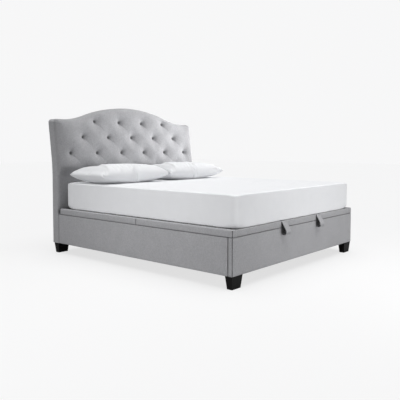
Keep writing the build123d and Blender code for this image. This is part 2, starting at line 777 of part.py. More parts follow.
with BuildPart() as lid_slats:
    for row_y in slat_rows:
        for side, sign in SIDES:
            inner = sign * SLAT_INNER_X
            outer = sign * (holder_x + HOLDER[0] / 2)
            middle = (inner + outer) / 2
            with BuildSketch(Plane(origin=(0, row_y, 0), x_dir=(1, 0, 0), z_dir=(0, -1, 0))):
                with BuildLine():
                    ThreePointArc((inner, slat_low), (middle, slat_low + SLAT_CROWN), (outer, slat_low))
                    Line((outer, slat_low), (outer, slat_low + SLAT_THICK))
                    ThreePointArc(
                        (outer, slat_low + SLAT_THICK),
                        (middle, slat_low + SLAT_CROWN + SLAT_THICK),
                        (inner, slat_low + SLAT_THICK),
                    )
                    Line((inner, slat_low + SLAT_THICK), (inner, slat_low))
                make_face()
            extrude(amount=SLAT_WIDTH / 2, both=True)
save(lid_slats, "lid_slats")

with BuildPart() as slat_holders:
    for row_y in slat_rows:
        low_y = row_y - HOLDER[1] / 2
        high_y = row_y + HOLDER[1] / 2
        block((-HOLDER[0], low_y, LEDGE_TOP), (HOLDER[0], high_y, LEDGE_TOP + HOLDER[2]))
        for side, sign in SIDES:
            block((sign * holder_x, low_y, LEDGE_TOP), (sign * (holder_x + HOLDER[0]), high_y, LEDGE_TOP + HOLDER[2]))
            slot_low = LEDGE_TOP + HOLDER_WALL
            slot_high = LEDGE_TOP + HOLDER[2] - HOLDER_WALL
            block(
                (sign * (SLAT_INNER_X - 1), low_y + HOLDER_WALL, slot_low),
                (sign * (HOLDER[0] + 1), high_y - HOLDER_WALL, slot_high),
                mode=Mode.SUBTRACT,
            )
            block(
                (sign * (holder_x - 1), low_y + HOLDER_WALL, slot_low),
                (sign * (holder_x + HOLDER[0] / 2 + 1), high_y - HOLDER_WALL, slot_high),
                mode=Mode.SUBTRACT,
            )
save(slat_holders, "slat_holders")

# Mattress, its fitted sheet and two pillows


def mattress_form(inset):
    """The mattress as a cushion with rounded corners, drawn in all round by an inset."""
    half_w = MATTRESS[0] / 2 - inset
    near = FOOT_Y + MATTRESS_GAP + inset
    far = FOOT_Y + MATTRESS_GAP + MATTRESS[1] - inset
    with BuildPart() as form:
        block((-half_w, near, LID_TOP + LIFT_OFF + inset), (half_w, far, LID_TOP + MATTRESS[2] + 1 - inset))
        fillet(form.edges().filter_by(Axis.Z), radius=CORNER_R - inset)
        fillet(form.edges().group_by(Axis.Z)[-1], radius=TOP_R - inset)
        fillet(form.edges().group_by(Axis.Z)[0], radius=BOTTOM_R - inset)
    return form.part


with BuildPart() as mattress:
    add(mattress_form(SHEET))
save(mattress, "mattress")

with BuildPart() as fitted_sheet:
    add(mattress_form(0))
    add(mattress.part, mode=Mode.SUBTRACT)
    open_x = MATTRESS[0] / 2 - SHEET_TURN
    block(
        (-open_x, FOOT_Y + MATTRESS_GAP + SHEET_TURN, LID_TOP),
        (open_x, FOOT_Y + MATTRESS_GAP + MATTRESS[1] - SHEET_TURN, LID_TOP + LIFT_OFF + SHEET),
        mode=Mode.SUBTRACT,
    )
save(fitted_sheet, "fitted_sheet")

sleep_z = LID_TOP + MATTRESS[2] + 1 + LIFT_OFF

for side, middle in PILLOW_PLACES.items():
    with BuildPart() as pillow:
        for place, half_depth, rise, fall in PILLOW_SECTIONS:
            station = middle + place * PILLOW[0] / 2
            seam = sleep_z + PILLOW_SEAM
            with BuildSketch(Plane.YZ.offset(station)):
                with BuildLine():
                    ThreePointArc(
                        (PILLOW_Y - half_depth, seam), (PILLOW_Y, seam + rise), (PILLOW_Y + half_depth, seam)
                    )
                    ThreePointArc(
                        (PILLOW_Y + half_depth, seam), (PILLOW_Y, seam - fall), (PILLOW_Y - half_depth, seam)
                    )
                make_face()
        loft()
        split(bisect_by=Plane.XY.offset(sleep_z), keep=Keep.TOP)
    save(pillow, f"pillow_{side}")

# Pull loops, each a folded strap that hangs from the lid's foot edge

loop_top = (FOOT_Y - LOOP_OFF - LOOP_TIP, LID_TOP - LOOP_DOWN)
loop_low = (FOOT_Y - LOOP_OFF - LOOP_ROUND, loop_top[1] - LOOP_DROP)

for side, sign in SIDES:
    strap_edge = Plane.YZ.offset(sign * LOOP_X - LOOP_WIDTH / 2)
    with BuildPart() as pull_loop:
        with BuildSketch(strap_edge):
            with Locations(loop_top):
                Circle(LOOP_TIP)
            with Locations(loop_low):
                Circle(LOOP_ROUND)
            make_hull()
        extrude(amount=LOOP_WIDTH)
        with BuildSketch(strap_edge):
            with Locations((loop_top[0], loop_top[1] - LOOP_JOIN)):
                Circle(LOOP_FOLD)
            with Locations(loop_low):
                Circle(LOOP_ROUND - LOOP_THICK)
            make_hull()
        extrude(amount=LOOP_WIDTH, mode=Mode.SUBTRACT)
    save(pull_loop, f"pull_loop_{side}")
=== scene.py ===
"""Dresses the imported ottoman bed: padded covers, bedding, straps, timber and steel, on a pale studio floor."""

import math
from contextlib import contextmanager
from functools import cache
from itertools import product
from typing import NamedTuple

import bmesh
import bpy
import numpy as np
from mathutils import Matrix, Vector
from mathutils.kdtree import KDTree


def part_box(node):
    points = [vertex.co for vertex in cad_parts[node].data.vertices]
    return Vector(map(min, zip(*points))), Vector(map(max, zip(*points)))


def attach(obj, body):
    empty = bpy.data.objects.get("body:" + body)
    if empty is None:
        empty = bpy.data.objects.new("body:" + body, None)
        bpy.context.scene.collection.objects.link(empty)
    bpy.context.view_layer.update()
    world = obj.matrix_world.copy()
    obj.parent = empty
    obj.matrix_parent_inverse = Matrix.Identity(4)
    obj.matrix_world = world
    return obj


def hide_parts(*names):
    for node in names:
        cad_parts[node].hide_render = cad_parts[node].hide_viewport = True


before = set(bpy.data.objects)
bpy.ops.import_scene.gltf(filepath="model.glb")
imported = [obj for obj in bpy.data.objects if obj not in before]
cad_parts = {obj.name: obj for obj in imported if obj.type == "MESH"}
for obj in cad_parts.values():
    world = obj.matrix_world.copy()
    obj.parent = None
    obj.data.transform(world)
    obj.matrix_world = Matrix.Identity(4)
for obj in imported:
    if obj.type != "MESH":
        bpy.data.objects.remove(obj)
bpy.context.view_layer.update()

bl_info = {
    "name": "Ottoman Bed",
    "version": (1, 0, 0),
    "blender": (4, 5, 0),
    "location": "View3D > Sidebar > Ottoman Bed",
    "description": "Upholstery, bedding and hardware of an end-lift ottoman bed",
    "category": "Object",
}

MM = 0.001
SIDES = (("left", -1), ("right", 1))


# Sizes and colours that a user may change


def number(label, about, default, **limits):
    """A plain property."""
    return bpy.props.FloatProperty(name=label, description=about, default=default, **limits)


def length(label, about, default):
    """A size in metres."""
    return number(label, about, default, min=0, unit="LENGTH")


def share(label, about, default):
    """A number from 0 to 1."""
    return number(label, about, default, min=0, max=1, subtype="FACTOR")


def power(label, about, default):
    """A lamp's power in watts."""
    return number(label, about, default, min=0, unit="POWER")


def colour(label, about, default):
    """A linear colour."""
    return bpy.props.FloatVectorProperty(
        name=label, description=about, default=default, size=3, min=0, max=1, subtype="COLOR"
    )


class TuftingSizes(bpy.types.PropertyGroup):
    """Deep buttoning of the headboard."""

    pitch_x: length("Button pitch", "Distance between buttons of one row", 0.321)
    pitch_z: length("Row pitch", "Height between two rows of buttons", 0.158)
    top_row: length("Top row", "Height of the top row above the floor", 1.267)
    dimple: length("Dimple depth", "How deep a button is pulled in", 0.044)
    dimple_reach: length("Dimple reach", "How far from a button the padding is drawn in", 0.165)
    crease: length("Crease depth", "How deep the creases between buttons are", 0.015)
    crease_reach: length("Crease reach", "How far from a crease the padding falls away", 0.075)
    button: length("Button radius", "Radius of a covered button", 0.010)
    forward: length("Padding forward", "How far the buttoned front stands forward of the border", 0.046)
    roll: length("Padding roll", "Width of the soft roll round the buttoned front", 0.115)


class BeddingSizes(bpy.types.PropertyGroup):
    """Fitted sheet and pillows."""

    drape: length("Sheet ripple", "Height of the soft ripples in the fitted sheet", 0.0012)
    hem: length("Hem gathers", "Height of the gathers at the sheet's elastic", 0.004)
    crown: length("Pillow crown", "Height of a pillow's middle above the sheet", 0.184)
    tips: length("Pillow corners", "Height of a pillow's corners above the sheet", 0.080)
    wrinkles: length("Pillow wrinkles", "Height of the small wrinkles beside the case's fold", 0.012)


class FabricColours(bpy.types.PropertyGroup):
    """Colours of cloth and finishes."""

    weave_light: colour("Weave, light thread", "Light threads of the upholstery", (0.49, 0.49, 0.505))
    weave_dark: colour("Weave, dark thread", "Dark threads of the upholstery", (0.285, 0.285, 0.298))
    cotton: colour("Cotton", "Fitted sheet and pillowcases", (0.86, 0.868, 0.885))
    ticking: colour("Ticking", "Knitted cover of the mattress", (0.74, 0.74, 0.73))
    lining: colour("Lining", "Cloth on the back of the headboard", (0.035, 0.035, 0.038))
    feet: colour("Feet", "Satin lacquer of the feet", (0.007, 0.0068, 0.0068))


class StudioLevels(bpy.types.PropertyGroup):
    """Soft studio light."""

    key: power("Key light", "Lamp at the right, which grazes the headboard", 750)
    front: power("Front light", "Low lamp beyond the foot end", 28)
    room: share("Room light", "Level of the light from all round", 0.16)
    above: share("Light from above", "Level of the soft light from overhead", 0.80)
    beside: power("Light from the left", "Distant soft lamp beside the left rail", 1000)
    backdrop: share("Backdrop", "Brightness of the background", 0.930)
    shadow: share("Floor shadow", "How much of the floor's brightness follows the light", 0.22)


# Materials


def joining(operation, swapped=False):
    """A method that joins a value with another one by a maths node."""

    def method(self, other=0.0):
        pair = (other, self) if swapped else (self, other)
        return self.finish.node("ShaderNodeMath", {"operation": operation}, pair)

    return method


class Amount:
    """A value in a material, for plain arithmetic."""

    def __init__(self, finish, socket):
        self.finish = finish
        self.socket = socket

    __add__ = __radd__ = joining("ADD")
    __sub__ = joining("SUBTRACT")
    __rsub__ = joining("SUBTRACT", swapped=True)
    __mul__ = __rmul__ = joining("MULTIPLY")
    __truediv__ = joining("DIVIDE")
    __rtruediv__ = joining("DIVIDE", swapped=True)
    __pow__ = joining("POWER")
    __rpow__ = joining("POWER", swapped=True)
    __abs__ = joining("ABSOLUTE")
    wave = joining("SINE")
    least = joining("MINIMUM")
    over = joining("GREATER_THAN")

    def eased(self, low, high):
        """0 below low, 1 above high, and smooth between them."""
        return self.finish.node("ShaderNodeMapRange", {"interpolation_type": "SMOOTHSTEP"}, (self, low, high))


class Finish:
    """A material with one main shader, and a method that adds each other node."""

    def __init__(self, name, **shader):
        self.material = bpy.data.materials.new(name)
        self.material.use_nodes = True
        self.tree = self.material.node_tree
        self.shader = self.tree.nodes["Principled BSDF"]
        for socket, value in shader.items():
            self.shader.inputs[socket.replace("_", " ")].default_value = value
        self.texture = self.tree.nodes.new("ShaderNodeTexCoord")

    @property
    def place(self):
        return Amount(self, self.texture.outputs["Object"])

    def node(self, kind, settings=None, inputs=(), output=0):
        """Adds a node: its settings first, then the values or links of its sockets, by order or by name."""
        made = self.tree.nodes.new(kind)
        for setting, value in (settings or {}).items():
            setattr(made, setting, value)
        sockets = inputs.items() if isinstance(inputs, dict) else enumerate(inputs)
        for key, value in sockets:
            if isinstance(value, Amount):
                self.tree.links.new(value.socket, made.inputs[key])
            else:
                made.inputs[key].default_value = value
        return Amount(self, made.outputs[output])

    def parts(self, vector):
        """The three numbers of a vector."""
        split = self.tree.nodes.new("ShaderNodeSeparateXYZ")
        self.tree.links.new(vector.socket, split.inputs[0])
        return [Amount(self, socket) for socket in split.outputs]

    def stretched(self, scales):
        """The place in the object, with a scale for each axis."""
        return self.node("ShaderNodeVectorMath", {"operation": "MULTIPLY"}, (self.place, scales))

    def noise(self, scale, detail, roughness, distortion=0.0, at=None):
        """Cloudy noise from 0 to 1."""
        look = {"Scale": scale, "Detail": detail, "Roughness": roughness, "Distortion": distortion}
        return self.node("ShaderNodeTexNoise", {}, {"Vector": at or self.place, **look})

    def streaks(self, scales, detail=1.0, roughness=0.6, distortion=0.0):
        """Noise with a scale for each axis: the larger the scale, the thinner a streak is."""
        return self.noise(1.0, detail, roughness, distortion, at=self.stretched(scales))

    def blend(self, factor, first, second):
        """One colour over another by a factor."""
        inputs = {0: factor, 6: (*first, 1), 7: (*second, 1)}
        return self.node("ShaderNodeMix", {"data_type": "RGBA"}, inputs, 2)

    def tinted(self, shade, amount):
        """A colour made lighter or darker by a value."""
        shade = shade if isinstance(shade, Amount) else (*shade, 1)
        grey = self.node("ShaderNodeCombineColor", {}, (amount, amount, amount))
        settings = {"data_type": "RGBA", "blend_type": "MULTIPLY"}
        return self.node("ShaderNodeMix", settings, {0: 1.0, 6: shade, 7: grey}, 2)

    def painted_shade(self):
        """How much painted shade darkens the cloth, as the mesh says."""
        return self.node("ShaderNodeAttribute", {"attribute_name": "painted_shade"}, (), 2)

    def coated(self, shade, roughness, height, depth, strength):
        """Feeds the main shader its colour, its roughness and a relief of a depth in metres."""
        relief = self.node("ShaderNodeBump", {}, {"Strength": strength, "Distance": depth, "Height": height})
        for socket, value in (("Base Color", shade), ("Roughness", roughness), ("Normal", relief)):
            if value is not None:
                self.tree.links.new(value.socket, self.shader.inputs[socket])
        return self.material


def facing(finish):
    """How much a surface faces along X, Y and Z, sharpened."""
    normal = Amount(finish, finish.texture.outputs["Normal"])
    x, y, z = (abs(part) ** 4 for part in finish.parts(normal))
    total = x + y + z + 0.0001
    return x / total, y / total, z / total


def woven(across, along, pitch):
    """Height of a plain weave over two directions, from 0 to 1."""
    first = (across * (math.pi / pitch)).wave()
    second = (along * (math.pi / pitch)).wave()
    over = (first * second).over(0.0)
    return over * abs(first) + (1 - over) * abs(second)


def woven_all_round(finish, pitch):
    """A plain weave on each side of a piece, by the way that the side faces."""
    x, y, z = finish.parts(finish.place)
    face_x, face_y, face_z = facing(finish)
    return face_x * woven(y, z, pitch) + face_y * woven(x, z, pitch) + face_z * woven(x, y, pitch)


def upholstery(colours):
    """Heathered linen-look weave in light grey."""
    finish = Finish(
        "grey_upholstery", Roughness=0.92, Sheen_Weight=0.25, Sheen_Roughness=0.5, Specular_IOR_Level=0.25
    )
    thread = woven_all_round(finish, 0.0016)
    slub, thin = 55.0, 620.0
    level = finish.streaks((slub, thin, thin))
    upright = finish.streaks((thin, thin, slub))
    running = finish.streaks((thin, slub, thin))
    heather = (level + upright + running) / 3
    clouds = finish.noise(9.0, 3.0, 0.55).eased(0.25, 0.75)
    mottle = finish.noise(75.0, 2.0, 0.6).eased(0.3, 0.7)
    light = heather.eased(0.36, 0.64) * 0.54 + thread * 0.22 + clouds * 0.12 + mottle * 0.20
    shade = finish.blend(light.least(1.0), colours.weave_dark, colours.weave_light)
    # painted shade from the mesh darkens the weave
    shade = finish.tinted(shade, 1 - finish.painted_shade())
    return finish.coated(shade, 0.86 + (1 - thread) * 0.12, thread * 0.7 + heather * 0.6, 0.0006, 0.8)


def sewing_thread():
    """Twisted thread a shade lighter than the weave."""
    finish = Finish("grey_thread", Roughness=0.7, Specular_IOR_Level=0.3)
    twist = finish.noise(1400.0, 2.0, 0.6)
    shade = finish.blend(twist, (0.36, 0.36, 0.375), (0.52, 0.52, 0.535))
    return finish.coated(shade, None, twist, 0.0002, 0.5)


def cotton(colours):
    """Plain white cotton, finely woven and a little uneven."""
    finish = Finish(
        "white_cotton_cloth", Roughness=0.9, Sheen_Weight=0.15, Sheen_Roughness=0.4, Specular_IOR_Level=0.3
    )
    thread = woven_all_round(finish, 0.0009)
    soft = finish.noise(14.0, 3.0, 0.5)
    slub = finish.streaks((45.0, 400.0, 400.0), 1.0, 0.5)
    # painted shade from the mesh darkens the cotton
    level = (0.955 + soft * 0.05 + thread * 0.02 + slub * 0.02) * (1 - finish.painted_shade())
    relief = thread * 0.4 + slub * 0.5 + soft * 2.0
    return finish.coated(finish.tinted(colours.cotton, level), 0.84 + thread * 0.1, relief, 0.0004, 0.7)


def ticking_cloth(colours):
    """Knitted mattress cover with small quilted diamonds."""
    finish = Finish("mattress_ticking", Roughness=0.88, Sheen_Weight=0.2, Specular_IOR_Level=0.3)
    x, y, _ = finish.parts(finish.place)
    diamond = math.pi / 0.012
    knit = abs(((x + y) * diamond).wave()) * abs(((x - y) * diamond).wave())
    loops = finish.noise(900.0, 1.0, 0.5)
    shade = finish.tinted(colours.ticking, 0.9 + knit * 0.08 + loops * 0.04)
    return finish.coated(shade, 0.82 + loops * 0.14, knit * 1.5 + loops * 0.3, 0.0008, 0.8)


def lining_cloth(colours):
    """Thin black non-woven lining with its pressed dots."""
    finish = Finish("black_lining", Roughness=0.95, Specular_IOR_Level=0.2)
    x, _, z = finish.parts(finish.place)
    dot = math.pi / 0.003
    dots = (abs((x * dot).wave()) * abs((z * dot).wave())).eased(0.55, 0.9)
    fibres = finish.streaks((300.0, 300.0, 90.0), 3.0, 0.7, 0.4)
    shade = finish.tinted(colours.lining, 0.75 + fibres * 0.5 + dots * 0.2)
    return finish.coated(shade, 0.98 - dots * 0.16, fibres * 0.6 - dots * 0.5, 0.0005, 0.7)


def timber(name, dark, light, run, ring=0.011, rough=0.6, knots=0.0):
    """Planed wood whose grain runs along an axis: 0 for X, 1 for Y, 2 for Z."""
    finish = Finish(name, Roughness=rough, Specular_IOR_Level=0.35)
    scales = [1.0, 1.0, 1.0]
    scales[run] = 0.06
    drawn = finish.stretched(tuple(scales))
    wander = finish.noise(9.0, 2.0, 0.5, at=drawn)
    parts = finish.parts(drawn)
    across = parts[(run + 1) % 3] + parts[(run + 2) % 3] * 0.6
    rings = ((across + wander * 0.05) * (2 * math.pi / ring)).wave() * 0.5 + 0.5
    fibres = finish.noise(420.0, 3.0, 0.65, at=drawn)
    patches = finish.noise(3.0, 2.0, 0.5)
    tone = rings**1.6 * 0.45 + fibres * 0.4 + patches * 0.3 + knots * wander.eased(0.68, 0.74)
    shade = finish.blend(tone.least(1.0), light, dark)
    return finish.coated(shade, rough - 0.08 + fibres * 0.18, fibres * 0.6 + rings * 0.4, 0.0004, 0.7)


def pressed_board():
    """Smooth brown hardboard with its fine flakes."""
    finish = Finish("brown_hardboard", Roughness=0.55, Specular_IOR_Level=0.35)
    flakes = finish.noise(260.0, 4.0, 0.7)
    clouds = finish.noise(4.0, 3.0, 0.5)
    shade = finish.blend(flakes * 0.6 + clouds * 0.4, (0.16, 0.085, 0.042), (0.30, 0.18, 0.10))
    return finish.coated(shade, 0.45 + flakes * 0.25, flakes, 0.0002, 0.6)


def lacquer(colours):
    """Black satin lacquer over open-pored wood."""
    finish = Finish("black_lacquered_wood", Roughness=0.36, Specular_IOR_Level=0.16)
    pores = finish.noise(500.0, 2.0, 0.6, at=finish.stretched((1.0, 1.0, 0.08)))
    cloud = finish.noise(30.0, 2.0, 0.5)
    shade = finish.blend(pores.eased(0.5, 0.75), colours.feet, (0.014, 0.013, 0.013))
    return finish.coated(shade, 0.28 + pores * 0.12 + cloud * 0.1, pores, 0.0002, 0.5)


def moulded(name, shade, rough):
    """Moulded plastic with a fine spark-eroded grain."""
    finish = Finish(name, Roughness=rough, Specular_IOR_Level=0.4)
    grain = finish.noise(1500.0, 2.0, 0.6)
    scuffs = finish.noise(22.0, 3.0, 0.6)
    scuffed = finish.blend(scuffs * 0.5, shade, [part * 1.7 for part in shade])
    return finish.coated(scuffed, rough - 0.1 + grain * 0.12 + scuffs * 0.1, grain, 0.00015, 0.6)


def powder_coat():
    """Black powder coat with its orange-peel skin and rubbed spots."""
    finish = Finish("black_powder_coat", Roughness=0.5, Specular_IOR_Level=0.45)
    peel = finish.noise(620.0, 2.0, 0.5)
    wear = finish.noise(35.0, 4.0, 0.65)
    shade = finish.blend(wear.eased(0.62, 0.8) * 0.5, (0.017, 0.017, 0.019), (0.07, 0.07, 0.074))
    return finish.coated(shade, 0.38 + peel * 0.14 + wear * 0.12, peel, 0.0002, 0.6)


def plated(name, shade, rough, streak):
    """Metal plating with fine turning marks."""
    finish = Finish(name, Metallic=1.0, Roughness=rough)
    marks = finish.streaks(streak, 3.0, 0.6)
    bloom = finish.noise(45.0, 3.0, 0.6)
    tint = finish.tinted(shade, 0.82 + marks * 0.16 + bloom * 0.12)
    return finish.coated(tint, rough - 0.06 + marks * 0.12 + bloom * 0.06, marks, 0.0001, 0.4)


# Dark and light shades of the timbers
PINE = (0.46, 0.28, 0.13), (0.72, 0.53, 0.33)
STAINED = (0.012, 0.012, 0.012), (0.03, 0.029, 0.029)
PLYWOOD = (0.42, 0.27, 0.14), (0.62, 0.45, 0.27)
BIRCH = (0.60, 0.42, 0.23), (0.79, 0.63, 0.42)

# How each finish is made, from the bed's colours
MAKERS = {
    "upholstery": upholstery,
    "cotton": cotton,
    "ticking": ticking_cloth,
    "thread": lambda _: sewing_thread(),
    "lining": lining_cloth,
    "pine_long": lambda _: timber("pine_along_bed", *PINE, 1, knots=0.5),
    "pine_cross": lambda _: timber("pine_across_bed", *PINE, 0, knots=0.5),
    "pine_upright": lambda _: timber("pine_upright", *PINE, 2, knots=0.5),
    "stained_long": lambda _: timber("stained_pine_along_bed", *STAINED, 1),
    "stained_cross": lambda _: timber("stained_pine_across_bed", *STAINED, 0),
    "ply_long": lambda _: timber("plywood_along_bed", *PLYWOOD, 1, ring=0.034),
    "ply_cross": lambda _: timber("plywood_across_bed", *PLYWOOD, 0, ring=0.034),
    "birch": lambda _: timber("birch_slats", *BIRCH, 0, ring=0.006, rough=0.42),
    "hardboard": lambda _: pressed_board(),
    "feet": lacquer,
    "plastic": lambda _: moulded("black_moulded_plastic", (0.016, 0.016, 0.017), 0.5),
    "powder": lambda _: powder_coat(),
    "zinc": lambda _: plated("zinc_plate", (0.62, 0.62, 0.63), 0.34, (90.0, 700.0, 700.0)),
    "rod": lambda _: plated("bright_rod_steel", (0.80, 0.80, 0.81), 0.14, (900.0, 60.0, 60.0)),
}


@cache
def finish_for(name):
    """One of the bed's finishes, made when it is first asked for."""
    return MAKERS[name](bpy.context.scene.ottoman_colours)


# Mesh work


def added(name, data):
    """A new object in the scene, at the origin."""
    made = bpy.data.objects.new(name, data)
    bpy.context.collection.objects.link(made)
    return made


def placed(name, points, faces, finish, body):
    """A new piece from points in metres, on its body and in its finish."""
    mesh = bpy.data.meshes.new(name)
    mesh.from_pydata([tuple(p) for p in points], [], [tuple(f) for f in faces])
    mesh.validate()
    return dressed(added(name, mesh), finish, body)


def dressed(piece, finish, body):
    """Gives a piece its finish, its smooth shading and its body."""
    piece.data.materials.clear()
    piece.data.materials.append(finish_for(finish))
    piece.data.polygons.foreach_set("use_smooth", [True] * len(piece.data.polygons))
    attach(piece, body)
    return piece


def marked(mesh, values):
    """Says for each point how much painted shade darkens its cloth."""
    painted_shade = mesh.attributes.new("painted_shade", "FLOAT", "POINT")
    painted_shade.data.foreach_set("value", np.asarray(values, np.float32))


@contextmanager
def edited(mesh):
    """A mesh opened for editing and written back."""
    work = bmesh.new()
    work.from_mesh(mesh)
    yield work
    work.to_mesh(mesh)
    work.free()


def welded(mesh):
    """Joins points that lie on each other, and drops the faces that had no area between them."""
    with edited(mesh) as work:
        bmesh.ops.remove_doubles(work, verts=work.verts, dist=0.02 * MM)
        bmesh.ops.dissolve_degenerate(work, edges=work.edges, dist=0.01 * MM)


def faced_out(mesh):
    """Turns every face of a closed shape outwards."""
    with edited(mesh) as work:
        bmesh.ops.recalc_face_normals(work, faces=work.faces)


# The usual numbers of a sine hash, which turn a grid place into a random one
HASH_TURN = np.array((12.9898, 78.233, 37.719))
HASH_SPREAD = 43758.5453


def smooth_step(part):
    """Eases a share from 0 to 1 at both its ends."""
    return part * part * (3 - 2 * part)


def bell(away, width):
    """1 in the middle, falling off smoothly beyond a width."""
    return np.exp(-((away / width) ** 2))


def ripple(points, size, seed):
    """Smooth random swells from -1 to 1 over points."""
    scaled = np.asarray(points, float) / size
    base = np.floor(scaled)
    ease = smooth_step(scaled - base)
    total = np.zeros(len(scaled))
    for corner in product((0, 1), repeat=3):
        value = np.sin((base + corner) @ HASH_TURN + seed * 1.7) * HASH_SPREAD
        weight = np.prod(np.where(corner, ease, 1 - ease), axis=1)
        total += weight * (2 * (value - np.floor(value)) - 1)
    return total


def border(columns, rows):
    """Grid places round the edge of a grid, as (column, row), starting along the first row."""
    walk = [(i, 0) for i in range(columns)]
    walk += [(columns - 1, j) for j in range(1, rows)]
    walk += [(i, rows - 1) for i in range(columns - 2, -1, -1)]
    walk += [(0, j) for j in range(rows - 2, 0, -1)]
    return walk


def quads(columns, rows):
    """The four corners of each quad of a grid, with its (column, row)."""
    for i in range(columns - 1):
        for j in range(rows - 1):
            a, b = i * rows + j, (i + 1) * rows + j
            yield (i, j), (a, b, b + 1, a + 1)


def shell(grid, rings, diagonal=None):
    """A closed skin: a show face as a grid, then rings that carry its edge round to the back.

    diagonal, if given, says for a quad's column and row whether its rising diagonal is a fold, or else its
    falling one. It says None where the quad stays whole."""
    columns, rows = grid.shape[:2]
    faces = []
    for (i, j), (a, b, c, d) in quads(columns, rows):
        fold = diagonal(i, j) if diagonal else None
        if fold is None:
            faces.append((a, b, c, d))
        elif fold:
            faces += [(a, b, c), (a, c, d)]
        else:
            faces += [(a, b, d), (b, c, d)]
    points = [grid.reshape(-1, 3)]
    edge = [i * rows + j for i, j in border(columns, rows)]
    count = len(edge)
    start = columns * rows
    for ring in rings:
        points.append(np.asarray(ring))
        following = list(range(start, start + count))
        for k in range(count):
            m = (k + 1) % count
            faces.append((edge[m], edge[k], following[k], following[m]))
        edge = following
        start += count
    points.append(np.mean(points[-1], axis=0, keepdims=True))
    faces += [(edge[(k + 1) % count], edge[k], start) for k in range(count)]
    return np.concatenate(points), faces


RIM_PARTS = (1.0, 0.72, 0.48, 0.28, 0.13, 0.04, 0)  # places on a soft edge, as shares of its radius


def steps(run, pitch, rim=14 * MM):
    """Places along a run, close together at both ends and even between."""
    ends = [rim * part for part in RIM_PARTS[::-1]]
    middle = np.linspace(rim, run - rim, max(2, round((run - 2 * rim) / pitch) + 1))[1:-1]
    return np.array(ends + list(middle) + [run - part for part in reversed(ends)])


def rounded_off(distance, radius):
    """How far a face falls back at a distance from its soft edge."""
    inside = np.clip(radius - distance, 0, radius)
    return radius - np.sqrt(np.maximum(radius**2 - inside**2, 0))


# Headboard


class Headboard:
    """The headboard's outline, lean and front, in metres."""

    half = 0.950
    foot = 0.095
    front = 0.980
    back = 1.080
    bend = 0.830  # height at which it starts to lean back
    bend_radius = 1.600
    lean = math.radians(7.5)
    shoulder_x = 0.853
    shoulder_z = 1.279
    peak = 1.427
    crown_share = 0.63  # how much of the camelback's curve bulges before it turns hollow
    corner = 0.035
    rim = 0.014  # radius of the soft edge round its front
    pocket = 0.0385  # depth of the recess in its back, where the board lies

    @classmethod
    def leaned(cls, z):
        """How far back the board stands at a height."""
        reach = cls.bend_radius * math.tan(cls.lean / 2)
        z = np.asarray(z, float)
        rise = np.clip(z - (cls.bend - reach), 0, 2 * reach)
        turned = np.minimum(rise, cls.bend_radius * math.sin(cls.lean))
        curved = cls.bend_radius - np.sqrt(cls.bend_radius**2 - turned**2)
        straight = (z - cls.bend) * math.tan(cls.lean)
        return np.where(z > cls.bend + reach * math.cos(cls.lean), straight, curved)

    @classmethod
    def top(cls, x, inset=0.0):
        """Height of the camelback's edge at a place across the bed."""
        x = np.abs(np.asarray(x, float))
        turn = 2 * math.atan((cls.peak - cls.shoulder_z) / cls.shoulder_x)
        radii = cls.shoulder_x / math.sin(turn)
        crown = radii * cls.crown_share
        hollow = radii - crown
        switch = crown * math.sin(turn)
        high = cls.peak - crown + np.sqrt(np.maximum(crown**2 - np.minimum(x, switch) ** 2, 0))
        gap = np.clip(cls.shoulder_x - x, 0, hollow * math.sin(turn))
        low = cls.shoulder_z + hollow - np.sqrt(np.maximum(hollow**2 - gap**2, 0))
        edge = np.where(x < switch, high, low) - inset
        radius = cls.corner - inset
        past = np.clip(x - (cls.half - inset - radius), 0, radius)
        return edge - (radius - np.sqrt(np.maximum(radius**2 - past**2, 0)))


BUTTONS_PER_ROW = (4, 5, 6, 5)


def buttons(sizes):
    """Button centres as (x, z), row by row from the top."""
    rows = []
    for row, count in enumerate(BUTTONS_PER_ROW):
        z = sizes.top_row - row * sizes.pitch_z
        rows.append([((i - (count - 1) / 2) * sizes.pitch_x, z) for i in range(count)])
    return rows


def crease_runs(rows, pitch_x):
    """Each crease between two neighbouring buttons, as its upper and its lower end."""
    return [
        (upper, lower)
        for row, following in zip(rows, rows[1:])
        for upper, lower in product(row, following)
        if abs(abs(upper[0] - lower[0]) - pitch_x / 2) < MM
    ]


def pleat_runs(rows):
    """The short pleats from the outermost buttons towards the padding's edge, as their two ends."""
    runs = [((x, z), (x + side * 0.070, z + 0.085)) for x, z in rows[0] for side in (-1, 1)]
    for row in rows[1:]:
        for (x, z), side in ((row[0], -1), (row[-1], 1)):
            runs += [((x, z), (x + side * 0.085, z + rise)) for rise in (-0.06, 0.06)]
    return runs


def from_line(x, z, start, end):
    """Places along a line and away from it, with its length."""
    run = np.array(end) - np.array(start)
    size = np.hypot(*run)
    along = ((x - start[0]) * run[0] + (z - start[1]) * run[1]) / size
    across = ((x - start[0]) * run[1] - (z - start[1]) * run[0]) / size
    return along, across, size


def crease_depth(x, z, run, sizes):
    """Depth of one crease, and how deep places lie in its sharp part.

    A crease that falls to the right is sewn sharp below its upper button, and the others are soft valleys."""
    start, end = run
    along, across, size = from_line(x, z, start, end)
    beyond = np.maximum(np.maximum(-along, along - size), 0)
    away = np.hypot(across, beyond * 1.6)
    middle = np.clip(np.minimum(along, size - along) / (size / 2), 0, 1)
    part = np.clip(along / size, 0, 1)
    if end[0] > start[0]:
        rounded, breadth = 0.010 + 0.030 * part, 0.80
        sharp = 0.42 * np.clip(1.0 - 1.4 * part, 0, 1)
    else:
        rounded, breadth, sharp = 0.035, 0.45, 0.0
    soft = np.sqrt(away**2 + rounded**2) - rounded
    broad = breadth * np.clip(1 - soft / sizes.crease_reach, 0, 1) ** 1.8
    seam_width = 0.004 + 0.006 * (1 - middle)
    narrow = sharp * np.exp(-((away / seam_width) ** 1.3))
    shallower = 1 - 0.45 * middle
    return sizes.crease * shallower * (broad + narrow), narrow


